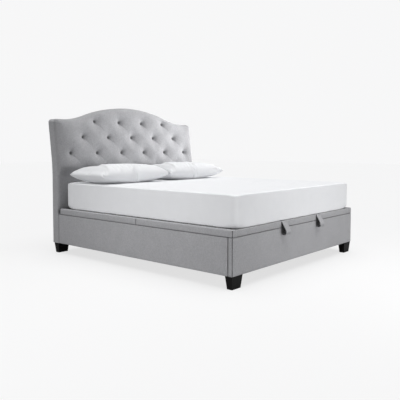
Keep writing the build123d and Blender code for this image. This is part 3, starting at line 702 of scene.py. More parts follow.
PLEAT_DEPTH, PLEAT_REACH = 0.8, 0.6  # of a pleat, as shares of a crease's
BROAD_PIT, STEEP_PIT = 0.68, 0.32  # shares of a dimple's depth
PIT_WIDTH = 0.020  # width of its steep part round the button
RING_RADIUS = 0.0155  # where the painted shade round a button ends


def padding_depth(x, z, sizes):
    """How far the padding is drawn in at places of the headboard's front, and how much painted shade they get
    along the creases and round the buttons.
    """
    depth = np.zeros(len(x))
    painted_shade = np.zeros(len(x))
    rows = buttons(sizes)
    for run in crease_runs(rows, sizes.pitch_x):
        crease, narrow = crease_depth(x, z, run, sizes)
        depth = np.maximum(depth, crease)
        # painted shade along the sharp part of a crease
        painted_shade = np.maximum(painted_shade, 0.7 * narrow)
    for start, end in pleat_runs(rows):
        along, across, size = from_line(x, z, start, end)
        fade = np.clip(1 - along / size, 0, 1) ** 1.2 * (along > -0.01)
        width = np.clip(1 - np.abs(across) / (sizes.crease_reach * PLEAT_REACH), 0, 1)
        depth = np.maximum(depth, sizes.crease * PLEAT_DEPTH * fade * width**2)
    for spot in (spot for row in rows for spot in row):
        away = np.hypot(x - spot[0], z - spot[1])
        share_in = np.clip(1 - (away - sizes.button) / (sizes.dimple_reach - sizes.button), 0, 1)
        steep = np.exp(-((np.maximum(away - sizes.button, 0) / PIT_WIDTH) ** 1.4))
        pit = sizes.dimple * (BROAD_PIT * share_in**2.0 + STEEP_PIT * steep)
        depth = np.where(pit > 0, (depth**3 + pit**3) ** (1 / 3), depth)
        # painted shade in the pit round each button
        painted_shade = np.maximum(painted_shade, 0.88 * np.exp(-((away / RING_RADIUS) ** 3)))
    return depth, painted_shade


# The grid of the headboard's front has columns and rows that fall on the buttons
COLUMNS_PER_PITCH, ROWS_PER_PITCH = 50, 25
SPARE_ROWS = 24  # even rows between the top row of buttons and the rim
FINE_FROM = 0.655  # about the height where the fine rows start
FOLD_COLUMNS = 12  # how far from a rising crease the quads are still split along it


def front_grid(shape, sizes):
    """Places (x, z) of the front's grid, and the function that says which way a quad is split.

    Beyond the outermost upper button, the rows that follow the creases end lower. Even ones fill the rest."""
    step_x = sizes.pitch_x / COLUMNS_PER_PITCH
    step_z = sizes.pitch_z / ROWS_PER_PITCH
    count = int((shape.half - shape.rim) / step_x)
    across = [i * step_x for i in range(count + 1)]
    across += [shape.half - shape.rim * part for part in RIM_PARTS[1:]]
    xs = np.array([-x for x in reversed(across[1:])] + across)
    low_rows = steps(FINE_FROM - shape.foot, 40 * MM)[: -len(RIM_PARTS)] + shape.foot
    full = round((sizes.top_row - FINE_FROM) / step_z)
    columns = []
    aligned = []
    for x in xs:
        outward = max(0.0, abs(x) - 1.5 * sizes.pitch_x)
        kept = full - min(math.floor(outward / step_x + 1e-6), COLUMNS_PER_PITCH)
        fine = sizes.top_row - full * step_z + step_z * np.arange(kept + 1)
        rim = float(shape.top(x)) - shape.rim * np.array(RIM_PARTS)
        between = np.linspace(fine[-1], rim[0], full + SPARE_ROWS - kept + 1)[1:-1]
        columns.append(np.concatenate((low_rows, fine, between, rim)))
        aligned.append(len(low_rows) + kept)
    z = np.array(columns)

    def fold(i, j):
        if j >= max(aligned[i], aligned[i + 1]) or j < len(low_rows):
            return None
        lift = j - len(low_rows) - full
        shift = i - (len(xs) - 1) // 2 - COLUMNS_PER_PITCH * 3 // 2
        rising = (shift - lift) % COLUMNS_PER_PITCH
        return min(rising, COLUMNS_PER_PITCH - rising) <= FOLD_COLUMNS

    return np.repeat(xs[:, None], z.shape[1], axis=1), z, fold


EDGE_REACH = 0.13  # how far from the outline its distance is measured
PULL_FADE = 0.05  # width over which the dimples and creases die away towards the outline
RAISED_FROM, RAISED_OVER = 0.715, 0.125  # where the buttoned front starts to stand forward, and over what rise
BORDER_FROM, BORDER_OVER = 0.76, 0.13  # where painted shade on the plain border starts and over what width it grows, from the middle outwards
NOTCH, NOTCH_FROM = 0.405, 0.86  # height and start of the painted shadow in the gap where the lid's top meets the headboard


def from_outline(x, z, shape):
    """How far places of the front are from its outline, measured near it and 1 m elsewhere."""
    across = np.linspace(-shape.half, shape.half, 1600)
    up = np.linspace(shape.foot, shape.top(shape.half), 500)
    outline_x = np.concatenate((across, np.full(500, shape.half), np.full(500, -shape.half)))
    outline_z = np.concatenate((shape.top(across), up, up))
    tree = KDTree(len(outline_x))
    for k, (edge_x, edge_z) in enumerate(zip(outline_x, outline_z)):
        tree.insert((edge_x, 0, edge_z), k)
    tree.balance()
    distance = np.full(len(x), 1.0)
    close = (np.abs(x) > shape.half - EDGE_REACH) | (z > shape.top(x) - EDGE_REACH)
    for k in np.flatnonzero(close):
        distance[k] = tree.find((x[k], 0, z[k]))[2]
    return distance


def back_rings(edge, shape):
    """Rings that carry the front's edge over the headboard's thickness and into the recess in its back."""
    front = shape.front + shape.rim + shape.leaned(edge[:, 2])
    back = shape.back + shape.leaned(edge[:, 2]) - 2 * MM
    rings = [
        np.column_stack((edge[:, 0], front + (back - front) * part, edge[:, 2]))
        for part in (0.12, 0.3, 0.5, 0.7, 0.86, 0.95)
    ]
    for inset, forward in ((0.7, 0.7 * MM), (2.5, 0), (14.5, 0), (14.6, shape.pocket)):
        inset *= MM
        x = np.clip(edge[:, 0], -shape.half + inset, shape.half - inset)
        z = np.minimum(np.clip(edge[:, 2], shape.foot + inset, None), shape.top(x, inset))
        rings.append(np.column_stack((x, shape.back - forward + shape.leaned(z), z)))
    return rings


class OTTOMAN_OT_headboard(bpy.types.Operator):
    """Deep-buttoned padded front of the headboard, wrapped round its edges"""

    bl_idname = "ottoman.headboard"
    bl_label = "Headboard upholstery"

    def execute(self, context):
        sizes = context.scene.ottoman_tufting
        shape = Headboard
        grid_x, grid_z, fold = front_grid(shape, sizes)
        x, z = grid_x.ravel(), grid_z.ravel()
        near_edge = from_outline(x, z, shape)
        depth, painted_shade = padding_depth(x, z, sizes)
        depth *= np.clip(near_edge / PULL_FADE, 0, 1)
        depth += rounded_off(near_edge, shape.rim)
        raised = smooth_step(np.clip((z - RAISED_FROM) / RAISED_OVER, 0, 1))
        roll = np.clip((near_edge - 0.002) / sizes.roll, 0, 1)
        depth -= sizes.forward * np.sqrt(1 - (1 - roll) ** 2.2) * raised
        spots = np.stack((x, np.zeros(len(x)), z), axis=1)
        calm = np.clip(near_edge / 0.03, 0, 1)
        depth += calm * (0.0007 * ripple(spots, 0.045, 3) + 0.0016 * ripple(spots, 0.16, 5) + 0.0010)
        y = shape.front + shape.leaned(z) + depth * math.cos(shape.lean)
        grid = np.stack((x, y, z), axis=1).reshape(*grid_z.shape, 3)
        edge = np.array([grid[i, j] for i, j in border(*grid_z.shape)])
        points, faces = shell(grid, back_rings(edge, shape), fold)
        middle_z = 0.7
        points[-1] = (0, shape.back - shape.pocket + float(shape.leaned(middle_z)), middle_z)
        piece = placed("headboard_upholstery", points, faces, "upholstery", "base")
        # painted shade: darker towards both side borders, and a painted shadow in the gap at the lid's top
        painted_border_shade = 0.16 * np.clip((np.abs(x) - BORDER_FROM) / BORDER_OVER, 0, 1)
        painted_notch_shadow = bell(z - NOTCH, 0.03) * np.clip((np.abs(x) - NOTCH_FROM) / 0.03, 0, 1)
        painted_shade = np.maximum.reduce((painted_shade, painted_border_shade, 0.8 * painted_notch_shadow))
        marked(piece.data, np.concatenate((painted_shade, np.zeros(len(points) - len(painted_shade)))))
        welded(piece.data)
        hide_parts("headboard_cover")
        return {"FINISHED"}


# Back of the headboard


def two_faced(outer, inner):
    """A thin closed skin between two grids of the same size, of which the outer one faces +Y."""
    columns, rows = outer.shape[:2]
    count = columns * rows
    faces = []
    for _, (a, b, c, d) in quads(columns, rows):
        faces += [(d, c, b, a), (count + a, count + b, count + c, count + d)]
    walk = [i * rows + j for i, j in border(columns, rows)]
    for a, b in zip(walk, walk[1:] + walk[:1]):
        faces.append((count + b, count + a, a, b))
    return np.concatenate((outer.reshape(-1, 3), inner.reshape(-1, 3))), faces


class OTTOMAN_OT_back_lining(bpy.types.Operator):
    """Thin black lining over the headboard's back frame, with its staples"""

    bl_idname = "ottoman.back_lining"
    bl_label = "Back lining"

    def execute(self, context):
        shape = Headboard
        inset = 15.6 * MM
        half = shape.half - inset
        run = steps(half, 12 * MM, 30 * MM)
        xs = np.concatenate((run - half, run[1:]))
        xs = np.unique(np.round(np.concatenate((xs, -xs)), 5))
        xs = xs[np.abs(xs) <= half + 1e-6]
        low = shape.foot + inset
        rows = 110
        grid_x = np.repeat(xs[:, None], rows, axis=1)
        grid_z = low + (shape.top(grid_x, inset) - low) * np.linspace(0, 1, rows)[None, :]
        x, z = grid_x.ravel(), grid_z.ravel()
        flat = np.stack((x, z * 0, z), axis=1)
        batten_gap = 0.42
        between = np.abs(np.sin(math.pi * (x - batten_gap / 2) / batten_gap)) ** 0.7
        slack = 0.0006 * between * (0.7 + 0.3 * ripple(flat, 0.23, 8)) + 0.0003 * ripple(flat, 0.05, 9)
        tight = np.clip(np.minimum(half - np.abs(x), z - low) / 0.05, 0, 1)
        y = shape.back - 0.2 * MM - (slack * tight + 0.0002) + shape.leaned(z)
        outer = np.stack((x, y, z), axis=1).reshape(*grid_x.shape, 3)
        points, faces = two_faced(outer, outer - np.array((0, 0.6 * MM, 0)))
        piece = placed("headboard_lining", points, faces, "lining", "base")
        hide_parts("headboard_back_cloth")
        staples = stapled([outer[i, j] for i, j in border(*grid_x.shape)], shape)
        return {"FINISHED"}


def stapled(walk, shape):
    """A row of staples a little inside the lining's edge, turned along it."""
    middle = np.array((0, 0, 0.75))
    following = walk[1:] + walk[:1]
    away = np.concatenate(([0], np.cumsum([np.linalg.norm(b - a) for a, b in zip(walk, following)])))
    spots, turns = [], []
    for run in np.arange(0.02, away[-1], 0.045):
        k = int(np.searchsorted(away, run)) - 1
        along = following[k] - walk[k]
        spot = walk[k] + along * (run - away[k]) / (away[k + 1] - away[k])
        inward = middle - spot
        spot = spot + inward / np.linalg.norm(inward) * 7 * MM
        spot[1] = shape.back + 0.1 * MM + float(shape.leaned(spot[2]))
        spots.append(spot)
        turns.append((0, -math.atan2(along[2], along[0]) + 0.25 * math.sin(run * 91), 0))
    return repeated("lining_staples", spots, turns, staple_mesh(), "zinc", "base")


def staple_mesh():
    """The crown of a staple, 10 mm wide, lying on the XZ plane."""
    low, high = (-5 * MM, -0.4 * MM, -0.6 * MM), (5 * MM, 0.5 * MM, 0.6 * MM)
    mesh = bpy.data.meshes.new("staple")
    with edited(mesh) as work:
        bmesh.ops.create_cube(work, size=1)
        for corner in work.verts:
            corner.co = [a if part < 0 else b for part, a, b in zip(corner.co, low, high)]
        bmesh.ops.bevel(work, geom=work.edges[:], offset=0.2 * MM, segments=1, profile=0.6, affect="EDGES")
    return mesh


# Repeated pieces, by Geometry Nodes


class Tree:
    """A Geometry Nodes tree with named inputs."""

    def __init__(self, name, **inputs):
        self.group = bpy.data.node_groups.new(name, "GeometryNodeTree")
        self.add_socket("Geometry", "Geometry", "OUTPUT")
        for label, kind in {"Geometry": "Geometry", **inputs}.items():
            self.add_socket(label, kind, "INPUT")
        self.start = self.group.nodes.new("NodeGroupInput")
        self.end = self.group.nodes.new("NodeGroupOutput")

    def add_socket(self, label, kind, way):
        self.group.interface.new_socket(label, in_out=way, socket_type="NodeSocket" + kind)

    def node(self, kind, settings=None, *ordered, **named):
        """Adds a node: its settings, then the values or links of its sockets by order and by name."""
        made = self.group.nodes.new(kind)
        for setting, value in (settings or {}).items():
            setattr(made, setting, value)
        by_name = {label.replace("_", " "): value for label, value in named.items()}
        for key, value in (*enumerate(ordered), *by_name.items()):
            if isinstance(value, bpy.types.NodeSocket):
                self.group.links.new(value, made.inputs[key])
            else:
                made.inputs[key].default_value = value
        return made

    def given(self, label):
        return self.start.outputs[label]

    def finished(self, **instances):
        """Ends the tree with its shapes on their points, as plain geometry in its finish."""
        shapes = self.node("GeometryNodeInstanceOnPoints", **instances)
        plain = self.node("GeometryNodeRealizeInstances", Geometry=shapes.outputs[0])
        coated = self.node("GeometryNodeSetMaterial", Geometry=plain.outputs[0], Material=self.given("Finish"))
        self.group.links.new(coated.outputs[0], self.end.inputs[0])
        return self


def grown(name, source, tree, values, finish, body):
    """Runs a tree on a source mesh and keeps its result as a plain piece."""
    holder = added(name, source)
    modifier = holder.modifiers.new("grown", "NODES")
    modifier.node_group = tree.group
    named = {item.name: item.identifier for item in tree.group.interface.items_tree if item.in_out == "INPUT"}
    for key, value in {"Finish": finish_for(finish), **values}.items():
        modifier[named[key]] = value
    graph = bpy.context.evaluated_depsgraph_get()
    mesh = bpy.data.meshes.new_from_object(holder.evaluated_get(graph), depsgraph=graph)
    holder.modifiers.clear()
    holder.data = mesh
    mesh.name = name
    return dressed(holder, finish, body)


@cache
def repeat_tree():
    """Sets one shape on every point, turned as the point says, with a little unevenness."""
    tree = Tree("set_on_points", Shape="Object", Finish="Material", Unevenness="Float")
    shape = tree.node("GeometryNodeObjectInfo", Object=tree.given("Shape"), As_Instance=True)
    turn = tree.node("GeometryNodeInputNamedAttribute", {"data_type": "FLOAT_VECTOR"}, Name="turn")
    most = tree.given("Unevenness")
    least = tree.node("ShaderNodeMath", {"operation": "SUBTRACT"}, 0.0, most)
    vector = {"data_type": "FLOAT_VECTOR"}
    chance = tree.node("FunctionNodeRandomValue", vector, Min=least.outputs[0], Max=most, Seed=4)
    tilt = tree.node("ShaderNodeVectorMath", {"operation": "ADD"}, turn.outputs[0], chance.outputs[0])
    turned = tree.node("FunctionNodeEulerToRotation", Euler=tilt.outputs[0])
    points = tree.node("GeometryNodeMeshToPoints", Mesh=tree.given("Geometry"))
    return tree.finished(
        Points=points.outputs[0], Instance=shape.outputs["Geometry"], Rotation=turned.outputs[0]
    )


@cache
def stitch_tree():
    """Sews a row of stitches along every line of edges."""
    tree = Tree("stitches_along_lines", Pitch="Float", Length="Float", Thread="Float", Finish="Material")
    line = tree.node("GeometryNodeMeshToCurve", Mesh=tree.given("Geometry"))
    pitch = tree.given("Pitch")
    points = tree.node("GeometryNodeCurveToPoints", {"mode": "LENGTH"}, Curve=line.outputs[0], Length=pitch)
    lean = tree.node("FunctionNodeAlignRotationToVector", {"axis": "X"}, Vector=points.outputs["Tangent"])
    bead = tree.node("GeometryNodeMeshIcoSphere", Radius=1.0, Subdivisions=1)
    half = tree.node("ShaderNodeMath", {"operation": "MULTIPLY"}, tree.given("Length"), 0.5)
    thread = tree.given("Thread")
    size = tree.node("ShaderNodeCombineXYZ", {}, half.outputs[0], thread, thread)
    return tree.finished(
        Points=points.outputs[0], Instance=bead.outputs[0], Rotation=lean.outputs[0], Scale=size.outputs[0]
    )


def repeated(name, spots, turns, shape, finish, body, unevenness=0.0):
    """One shape set on many points, each with its turn, as a plain piece."""
    mesh = bpy.data.meshes.new(name)
    mesh.from_pydata([tuple(spot) for spot in spots], [], [])
    turn = mesh.attributes.new("turn", "FLOAT_VECTOR", "POINT")
    turn.data.foreach_set("vector", np.asarray(turns, float).ravel())
    pattern = bpy.data.objects.new(name + "_pattern", shape)
    values = {"Shape": pattern, "Unevenness": unevenness}
    piece = grown(name, mesh, repeat_tree(), values, finish, body)
    bpy.data.objects.remove(pattern)
    return piece


def sewn(name, lines, finish, body, slot, pitch, stitch, thread):
    """Rows of stitches along lines of points, as a plain piece."""
    points, edges = [], []
    for line in lines:
        edges += [(len(points) + k, len(points) + k + 1) for k in range(len(line) - 1)]
        points += line
    mesh = bpy.data.meshes.new(name)
    mesh.from_pydata(points, edges, [])
    values = {"Pitch": pitch, "Length": stitch, "Thread": thread}
    return grown(name, mesh, stitch_tree(), values, finish, body)


def turned_mesh(name, profile, sides):
    """A turned shape round Z from (radius, height) pairs, closed where the radius is nil."""
    points, rings = [], []
    for radius, height in profile:
        if radius < 1e-7:
            rings.append([len(points)])
            points.append((0, 0, height))
            continue
        rings.append(range(len(points), len(points) + sides))
        for angle in (2 * math.pi * k / sides for k in range(sides)):
            points.append((radius * math.cos(angle), radius * math.sin(angle), height))
    faces = []
    for upper, lower in zip(rings, rings[1:]):
        for k in range(sides):
            m = (k + 1) % sides
            if len(upper) == 1:
                faces.append((upper[0], lower[k], lower[m]))
            elif len(lower) == 1:
                faces.append((upper[m], upper[k], lower[0]))
            else:
                faces.append((upper[k], lower[k], lower[m], upper[m]))
    mesh = bpy.data.meshes.new(name)
    mesh.from_pydata(points, [], faces)
    return mesh


# A covered button's outline from its middle to its back, as (share of its radius, height)
BUTTON_PROFILE = (
    (0, 0.0066),
    (0.35, 0.0062),
    (0.65, 0.0050),
    (0.88, 0.0030),
    (1.0, 0.0008),
    (0.97, -0.0012),
    (0.8, -0.0022),
    (0, -0.0022),
)


class OTTOMAN_OT_buttons(bpy.types.Operator):
    """Covered buttons at the bottom of every dimple"""

    bl_idname = "ottoman.buttons"
    bl_label = "Headboard buttons"

    def execute(self, context):
        sizes = context.scene.ottoman_tufting
        shape = Headboard
        profile = [(part * sizes.button, height) for part, height in BUTTON_PROFILE]
        button = turned_mesh("button", profile, 20)
        # painted shade: the buttons are darkened as if lying in their pits' shadow
        marked(button, [0.62] * len(button.vertices))
        y = shape.front + (sizes.dimple - sizes.forward - 2 * MM) * math.cos(shape.lean)
        spots = [(x, y + float(shape.leaned(z)), z) for row in buttons(sizes) for x, z in row]
        turns = [(math.radians(90) - shape.lean, 0, 0)] * len(spots)
        name = "headboard_covered_buttons"
        piece = repeated(name, spots, turns, button, "upholstery", "base", unevenness=0.06)
        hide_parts("headboard_buttons")
        return {"FINISHED"}


# Padded covers of the rails and the lid


class Padding(NamedTuple):
    """How the cover of a rail is padded, in metres."""

    skin: float  # thickness over the rail's outer face
    wrap: float  # thickness over its top and under its foot
    radius: float
    crown: float  # how far the outer face bulges
    pitch: float  # distance between the stations of the skin
    swell: float  # height of its unevenness


BASE_PADDING = Padding(18 * MM, 6 * MM, 8 * MM, 1.2 * MM, 18 * MM, 0.9 * MM)
LID_PADDING = Padding(12 * MM, 5 * MM, 7 * MM, 0.5 * MM, 16 * MM, 0.6 * MM)


def channel(depth, low, high, padding):
    """Cross-section of a cover that wraps a board, as its outer and its inner points (outward, height)."""
    radius = padding.radius
    straight = high - low - 2 * radius

    def arc(height, start, stop):
        angles = np.radians(np.linspace(start, stop, 6))
        return [(depth - radius + radius * math.cos(a), height + radius * math.sin(a)) for a in angles]

    flats = max(4, round((high - low) / 0.012))
    face = [
        (depth + padding.crown * math.sin(math.pi * part) ** 0.6, low + radius + straight * part)
        for part in np.linspace(0, 1, flats)[1:-1]
    ]
    turn = 0.4 * (depth - radius)
    foot_arc, top_arc = arc(low + radius, -90, 0), arc(high - radius, 0, 90)
    outer = [(0, low), (turn, low), *foot_arc, *face, *top_arc, (turn, high), (0, high)]
    board, foot, top = depth - padding.skin, low + padding.wrap, high - padding.wrap
    return np.array(outer), np.array([(0, top), (board, top), (board, foot), (0, foot)])


def tube(rings, size, endless=False):
    """Faces between rings of points, and from the last ring to the first if the tube is endless."""
    faces = []
    for i in range(rings if endless else rings - 1):
        a, b = i * size, (i + 1) % rings * size
        faces += [(a + k, b + k, b + (k + 1) % size, a + (k + 1) % size) for k in range(size)]
    return faces


def wrapped(stations, section, closed, rim, swell, seed):
    """Skin of a cover along its stations, as points (along, outward, height) and faces.

    closed says for the first and last end how far the pocket stops short of it, 0 where it runs through."""
    outer, inner = section
    low, high = outer[0][1], outer[-1][1]
    depth = outer[:, 0].max()
    from_centre = outer - np.array((depth / 2, (low + high) / 2))
    pull = np.sign(from_centre) * (np.abs(from_centre) > 0.45 * np.array((depth / 2, (high - low) / 2)))
    pull[:, 0] = np.where(outer[:, 0] < 1e-6, 0, pull[:, 0])
    rings = []
    first, last = stations[0], stations[-1]
    for at in stations:
        shown = outer - pull * float(rounded_off(min(at - first, last - at), rim))
        if at < first + closed[0] or at > last - closed[1]:
            hidden = np.column_stack((np.zeros(4), np.linspace(shown[-1][1], shown[0][1], 6)[1:-1]))
        else:
            hidden = inner
        ring = np.concatenate((shown, hidden))
        rings.append(np.column_stack((np.full(len(ring), at), ring)))
    points = np.array(rings)
    count, size = points.shape[:2]
    shown = points[:, : len(outer)].reshape(-1, 3)
    uneven = 0.55 * ripple(shown, 0.11, seed)
    uneven += 0.30 * ripple(shown, 0.035, seed + 1)
    uneven += 0.25 * ripple(shown, 0.28, seed + 2)
    on_face = shown[:, 1] > depth * 0.8
    points[:, : len(outer), 1] += (swell * uneven * on_face).reshape(count, -1)
    ends = [tuple(range(size)), tuple((count - 1) * size + k for k in reversed(range(size)))]
    return points.reshape(-1, 3), tube(count, size) + ends


def cut_ends(mesh):
    """Splits a cover's many-sided ends into triangles that follow its outline."""
    with edited(mesh) as work:
        bmesh.ops.triangulate(work, faces=[face for face in work.faces if len(face.verts) > 4])
        bmesh.ops.recalc_face_normals(work, faces=work.faces)


def cover(name, node, body, padding, sign, rim, seed, closed=(0, 0), covered=None):
    """A padded cover in place of a node, with painted shadow along the joint of lid and base, and, where covered
    is given, painted shade where it says that the cover lies under the mattress and at the joint of the lid's
    halves.

    sign is -1 or 1 for a rail at the left or right of the bed, and 0 for one across its foot end."""
    low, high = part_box(node)
    if sign:
        first, last, depth = low.y, high.y, high.x - low.x
    else:
        first, last, depth = low.x, high.x, high.y - low.y
    stations = first + steps(last - first, padding.pitch, rim)
    section = channel(depth, low.z, high.z, padding)
    points, faces = wrapped(stations, section, closed, rim, padding.swell, seed)
    along, outward, height = points.T
    if sign:
        inner = abs(low.x if sign > 0 else high.x)
        points = np.column_stack((sign * (inner + outward), along, height))
    else:
        points = np.column_stack((along, high.y - outward, height))
    piece = placed(name, points, faces, "upholstery", body)
    cut_ends(piece.data)
    spots = np.array([tuple(vertex.co) for vertex in piece.data.vertices])
    # painted shadow in the joint between lid and base, and in the joint between the lid's halves
    dark, width = 0.62, 4 * MM
    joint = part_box("lid_foot_cover")[0].z
    shade = dark * bell(spots[:, 2] - joint, width)
    if covered:
        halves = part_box("lid_cover_foot_left")[1].y
        shade = np.maximum(shade, 0.8 * covered(spots) * (spots[:, 2] > high.z - 3 * MM))
        shade = np.maximum(shade, dark * bell(spots[:, 1] - halves - 1 * MM, width))
    marked(piece.data, shade)
    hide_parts(node)
    return piece


class OTTOMAN_OT_base_covers(bpy.types.Operator):
    """Padded covers of the side rails and the footboard"""

    bl_idname = "ottoman.base_covers"
    bl_label = "Base covers"

    def execute(self, context):
        for side, sign in SIDES:
            name, node = f"side_rail_upholstery_{side}", f"side_rail_cover_{side}"
            cover(name, node, "base", BASE_PADDING, sign, rim=4 * MM, seed=11 + sign)
        name, node, ends = "footboard_upholstery", "footboard_cover", (18 * MM, 18 * MM)
        cover(name, node, "base", BASE_PADDING, 0, rim=8 * MM, seed=21, closed=ends)
        return {"FINISHED"}


class OTTOMAN_OT_lid_covers(bpy.types.Operator):
    """Padded covers of the lid's side and foot rails, in their sewn lengths"""

    bl_idname = "ottoman.lid_covers"
    bl_label = "Lid covers"

    def execute(self, context):
        # painted shade on the lid's top where the mattress lies over it
        dark_beside, dark_behind = 0.902, -1.0765

        def beside(spots):
            return np.clip(1 - (np.abs(spots[:, 0]) - dark_beside) / 0.006, 0, 1)

        def behind(spots):
            return np.clip((spots[:, 1] - dark_behind) / 0.003, 0, 1)

        for side, sign in SIDES:
            for end, closed in (("foot", (12 * MM, 0)), ("head", (0, 10 * MM))):
                name, node = f"lid_upholstery_{end}_{side}", f"lid_cover_{end}_{side}"
                cover(name, node, "lid", LID_PADDING, sign, 6 * MM, 31 + sign, closed, covered=beside)
        name, node = "lid_upholstery_foot", "lid_foot_cover"
        cover(name, node, "lid", LID_PADDING, 0, rim=1.5 * MM, seed=41, covered=behind)
        return {"FINISHED"}


class OTTOMAN_OT_corner_welts(bpy.types.Operator):
    """Piping down the foot corners of the base and the lid, darkened with painted shade"""

    bl_idname = "ottoman.corner_welts"
    bl_label = "Corner piping"

    def execute(self, context):
        radius = 4 * MM
        for name, node, body in (("base", "footboard_cover", "base"), ("lid", "lid_cover_foot_left", "lid")):
            low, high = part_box(node)
            tall = high.z - low.z - 3 * MM
            profile = [(0, tall), (0.7 * radius, tall - 0.3 * radius), (radius, tall - radius)]
            profile += [(radius, tall * part) for part in np.linspace(0.9, 0.1, 9)]
            profile += [(radius, radius), (0.7 * radius, 0.3 * radius), (0, 0)]
            welt = turned_mesh("corner_welt", profile, 12)
            # painted shade darkens the piping
            marked(welt, [0.74] * len(welt.vertices))
            spots = [(sign * (Headboard.half - radius), low.y + radius, low.z + 1.5 * MM) for _, sign in SIDES]
            repeated(f"corner_piping_{name}", spots, np.zeros((2, 3)), welt, "upholstery", body)
        return {"FINISHED"}


def teardrop(top, top_radius, low, low_radius):
    """The path of a strap round a small circle above a large one, as (y, z) points with their outward ways."""
    gap = np.subtract(low, top)
    size = np.hypot(*gap)
    heading = math.atan2(gap[1], gap[0])
    spread = math.acos((top_radius - low_radius) / size)
    front, back = heading - spread, heading + spread

    def bent(centre, radius, first, last, parts):
        return [
            ((centre[0] + radius * math.cos(a), centre[1] + radius * math.sin(a)), (math.cos(a), math.sin(a)))
            for a in np.linspace(first, last, parts)
        ]

    def straight(first, last, turn, parts):
        return [
            (tuple(np.add(first, np.subtract(last, first) * part)), (math.cos(turn), math.sin(turn)))
            for part in np.linspace(0, 1, parts)[1:-1]
        ]

    over = bent(top, top_radius, back - 2 * math.pi, front, 9)
    under = bent(low, low_radius, front, back, 25)
    down = straight(over[-1][0], under[0][0], front, 12)
    up = straight(under[-1][0], over[0][0], back, 12)
    return over + down + under + up


class OTTOMAN_OT_pull_loops(bpy.types.Operator):
    """Folded straps of upholstery cloth on the lid's foot edge, with their hems sewn down"""

    bl_idname = "ottoman.pull_loops"
    bl_label = "Pull loops"

    def execute(self, context):
        tip, bend, thick, hem = 3.5 * MM, 25 * MM, 2.1 * MM, 8 * MM
        raised = thick + 0.35 * MM
        for side, _ in SIDES:
            low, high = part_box(f"pull_loop_{side}")
            middle, half = (low.x + high.x) / 2, (high.x - low.x) / 2
            outer = [(-half, 0), (-half + 0.5 * MM, 0.6 * raised), (-half + 1.8 * MM, raised)]
            outer += [(-half + hem, raised), (-half + hem + 1.2 * MM, thick)]
            outer += [(-half / 3, thick), (half / 3, thick)]
            outer += [(-x, away) for x, away in reversed(outer[:5])]
            section = outer + [(x, -away) for x, away in reversed(outer[1:-1])]
            top, foot = (high.y - tip, high.z - tip), (low.y + bend, low.z + bend)
            path = teardrop(top, tip - raised, foot, bend - raised)
            points, deep = [], []
            for (y, z), (out_y, out_z) in path:
                points += [(middle + across, y + out_y * away, z + out_z * away) for across, away in section]
                # painted shade: strong on the strap's inner side, and a little on the rest
                deep += [0.8 if away < 0.5 * MM else 0.06 for _, away in section]
            faces = tube(len(path), len(section), endless=True)
            body = f"loop_{side}"
            strap = placed(f"pull_strap_{side}", points, faces, "upholstery", body)
            faced_out(strap.data)
            marked(strap.data, deep)
            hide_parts(f"pull_loop_{side}")
            shown = [spot for spot in path if spot[0][1] < high.z - 12 * MM]
            lines = []
            for _, sign in SIDES:
                at = middle + sign * (half - hem + 2.2 * MM)
                hem_line = [(at, y + out_y * raised, z + out_z * raised) for (y, z), (out_y, out_z) in shown]
                lines.append(hem_line)
            sizes = {"pitch": 3.8 * MM, "stitch": 2.6 * MM, "thread": 0.45 * MM}
            sewn(f"strap_stitches_{side}", lines, "thread", body, "grey_weave", **sizes)
        return {"FINISHED"}


# Timber, steel and plastic that keep their own shapes


def both(*names):
    """The left and the right piece of each name."""
    return [f"{name}_{side}" for name in names for side, _ in SIDES]


NODE_FINISHES = {
    "ply_cross": ["headboard_board", "footboard_board"],
    "ply_long": both("side_rail_board"),
    "pine_upright": ["headboard_battens", "corner_posts"],
    "pine_long": ["floor_battens", "centre_beam"],
    "pine_cross": ["head_rail"],
    "stained_long": both("lid_core_foot", "lid_core_head"),
    "stained_cross": ["lid_foot_core", "lid_head_rail"],
    "hardboard": ["floor_panel_foot", "floor_panel_head"],
    "birch": ["lid_slats"],
    "plastic": ["centre_legs", "slat_holders"],
    "powder": both("base_plate", "rear_arm", "front_arm", "lid_bracket", "gas_cylinder")
    + ["headboard_brackets", "lid_centre_bar", "lid_cross_bar", "lid_joint_plates"],
    "zinc": ["frame_bolts", "base_pins", "lid_pins"],
    "rod": both("gas_rod"),
    "feet": both("foot_front", "foot_rear"),
}


class OTTOMAN_OT_frame_finishes(bpy.types.Operator):
    """Timber, steel, plastic and lacquer on the frame's own pieces"""

    bl_idname = "ottoman.frame_finishes"
    bl_label = "Frame finishes"

    def execute(self, context):
        for finish, nodes in NODE_FINISHES.items():
            for node in nodes:
                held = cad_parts[node].data.materials
                held.clear()
                held.append(finish_for(finish))
        return {"FINISHED"}


# Bedding


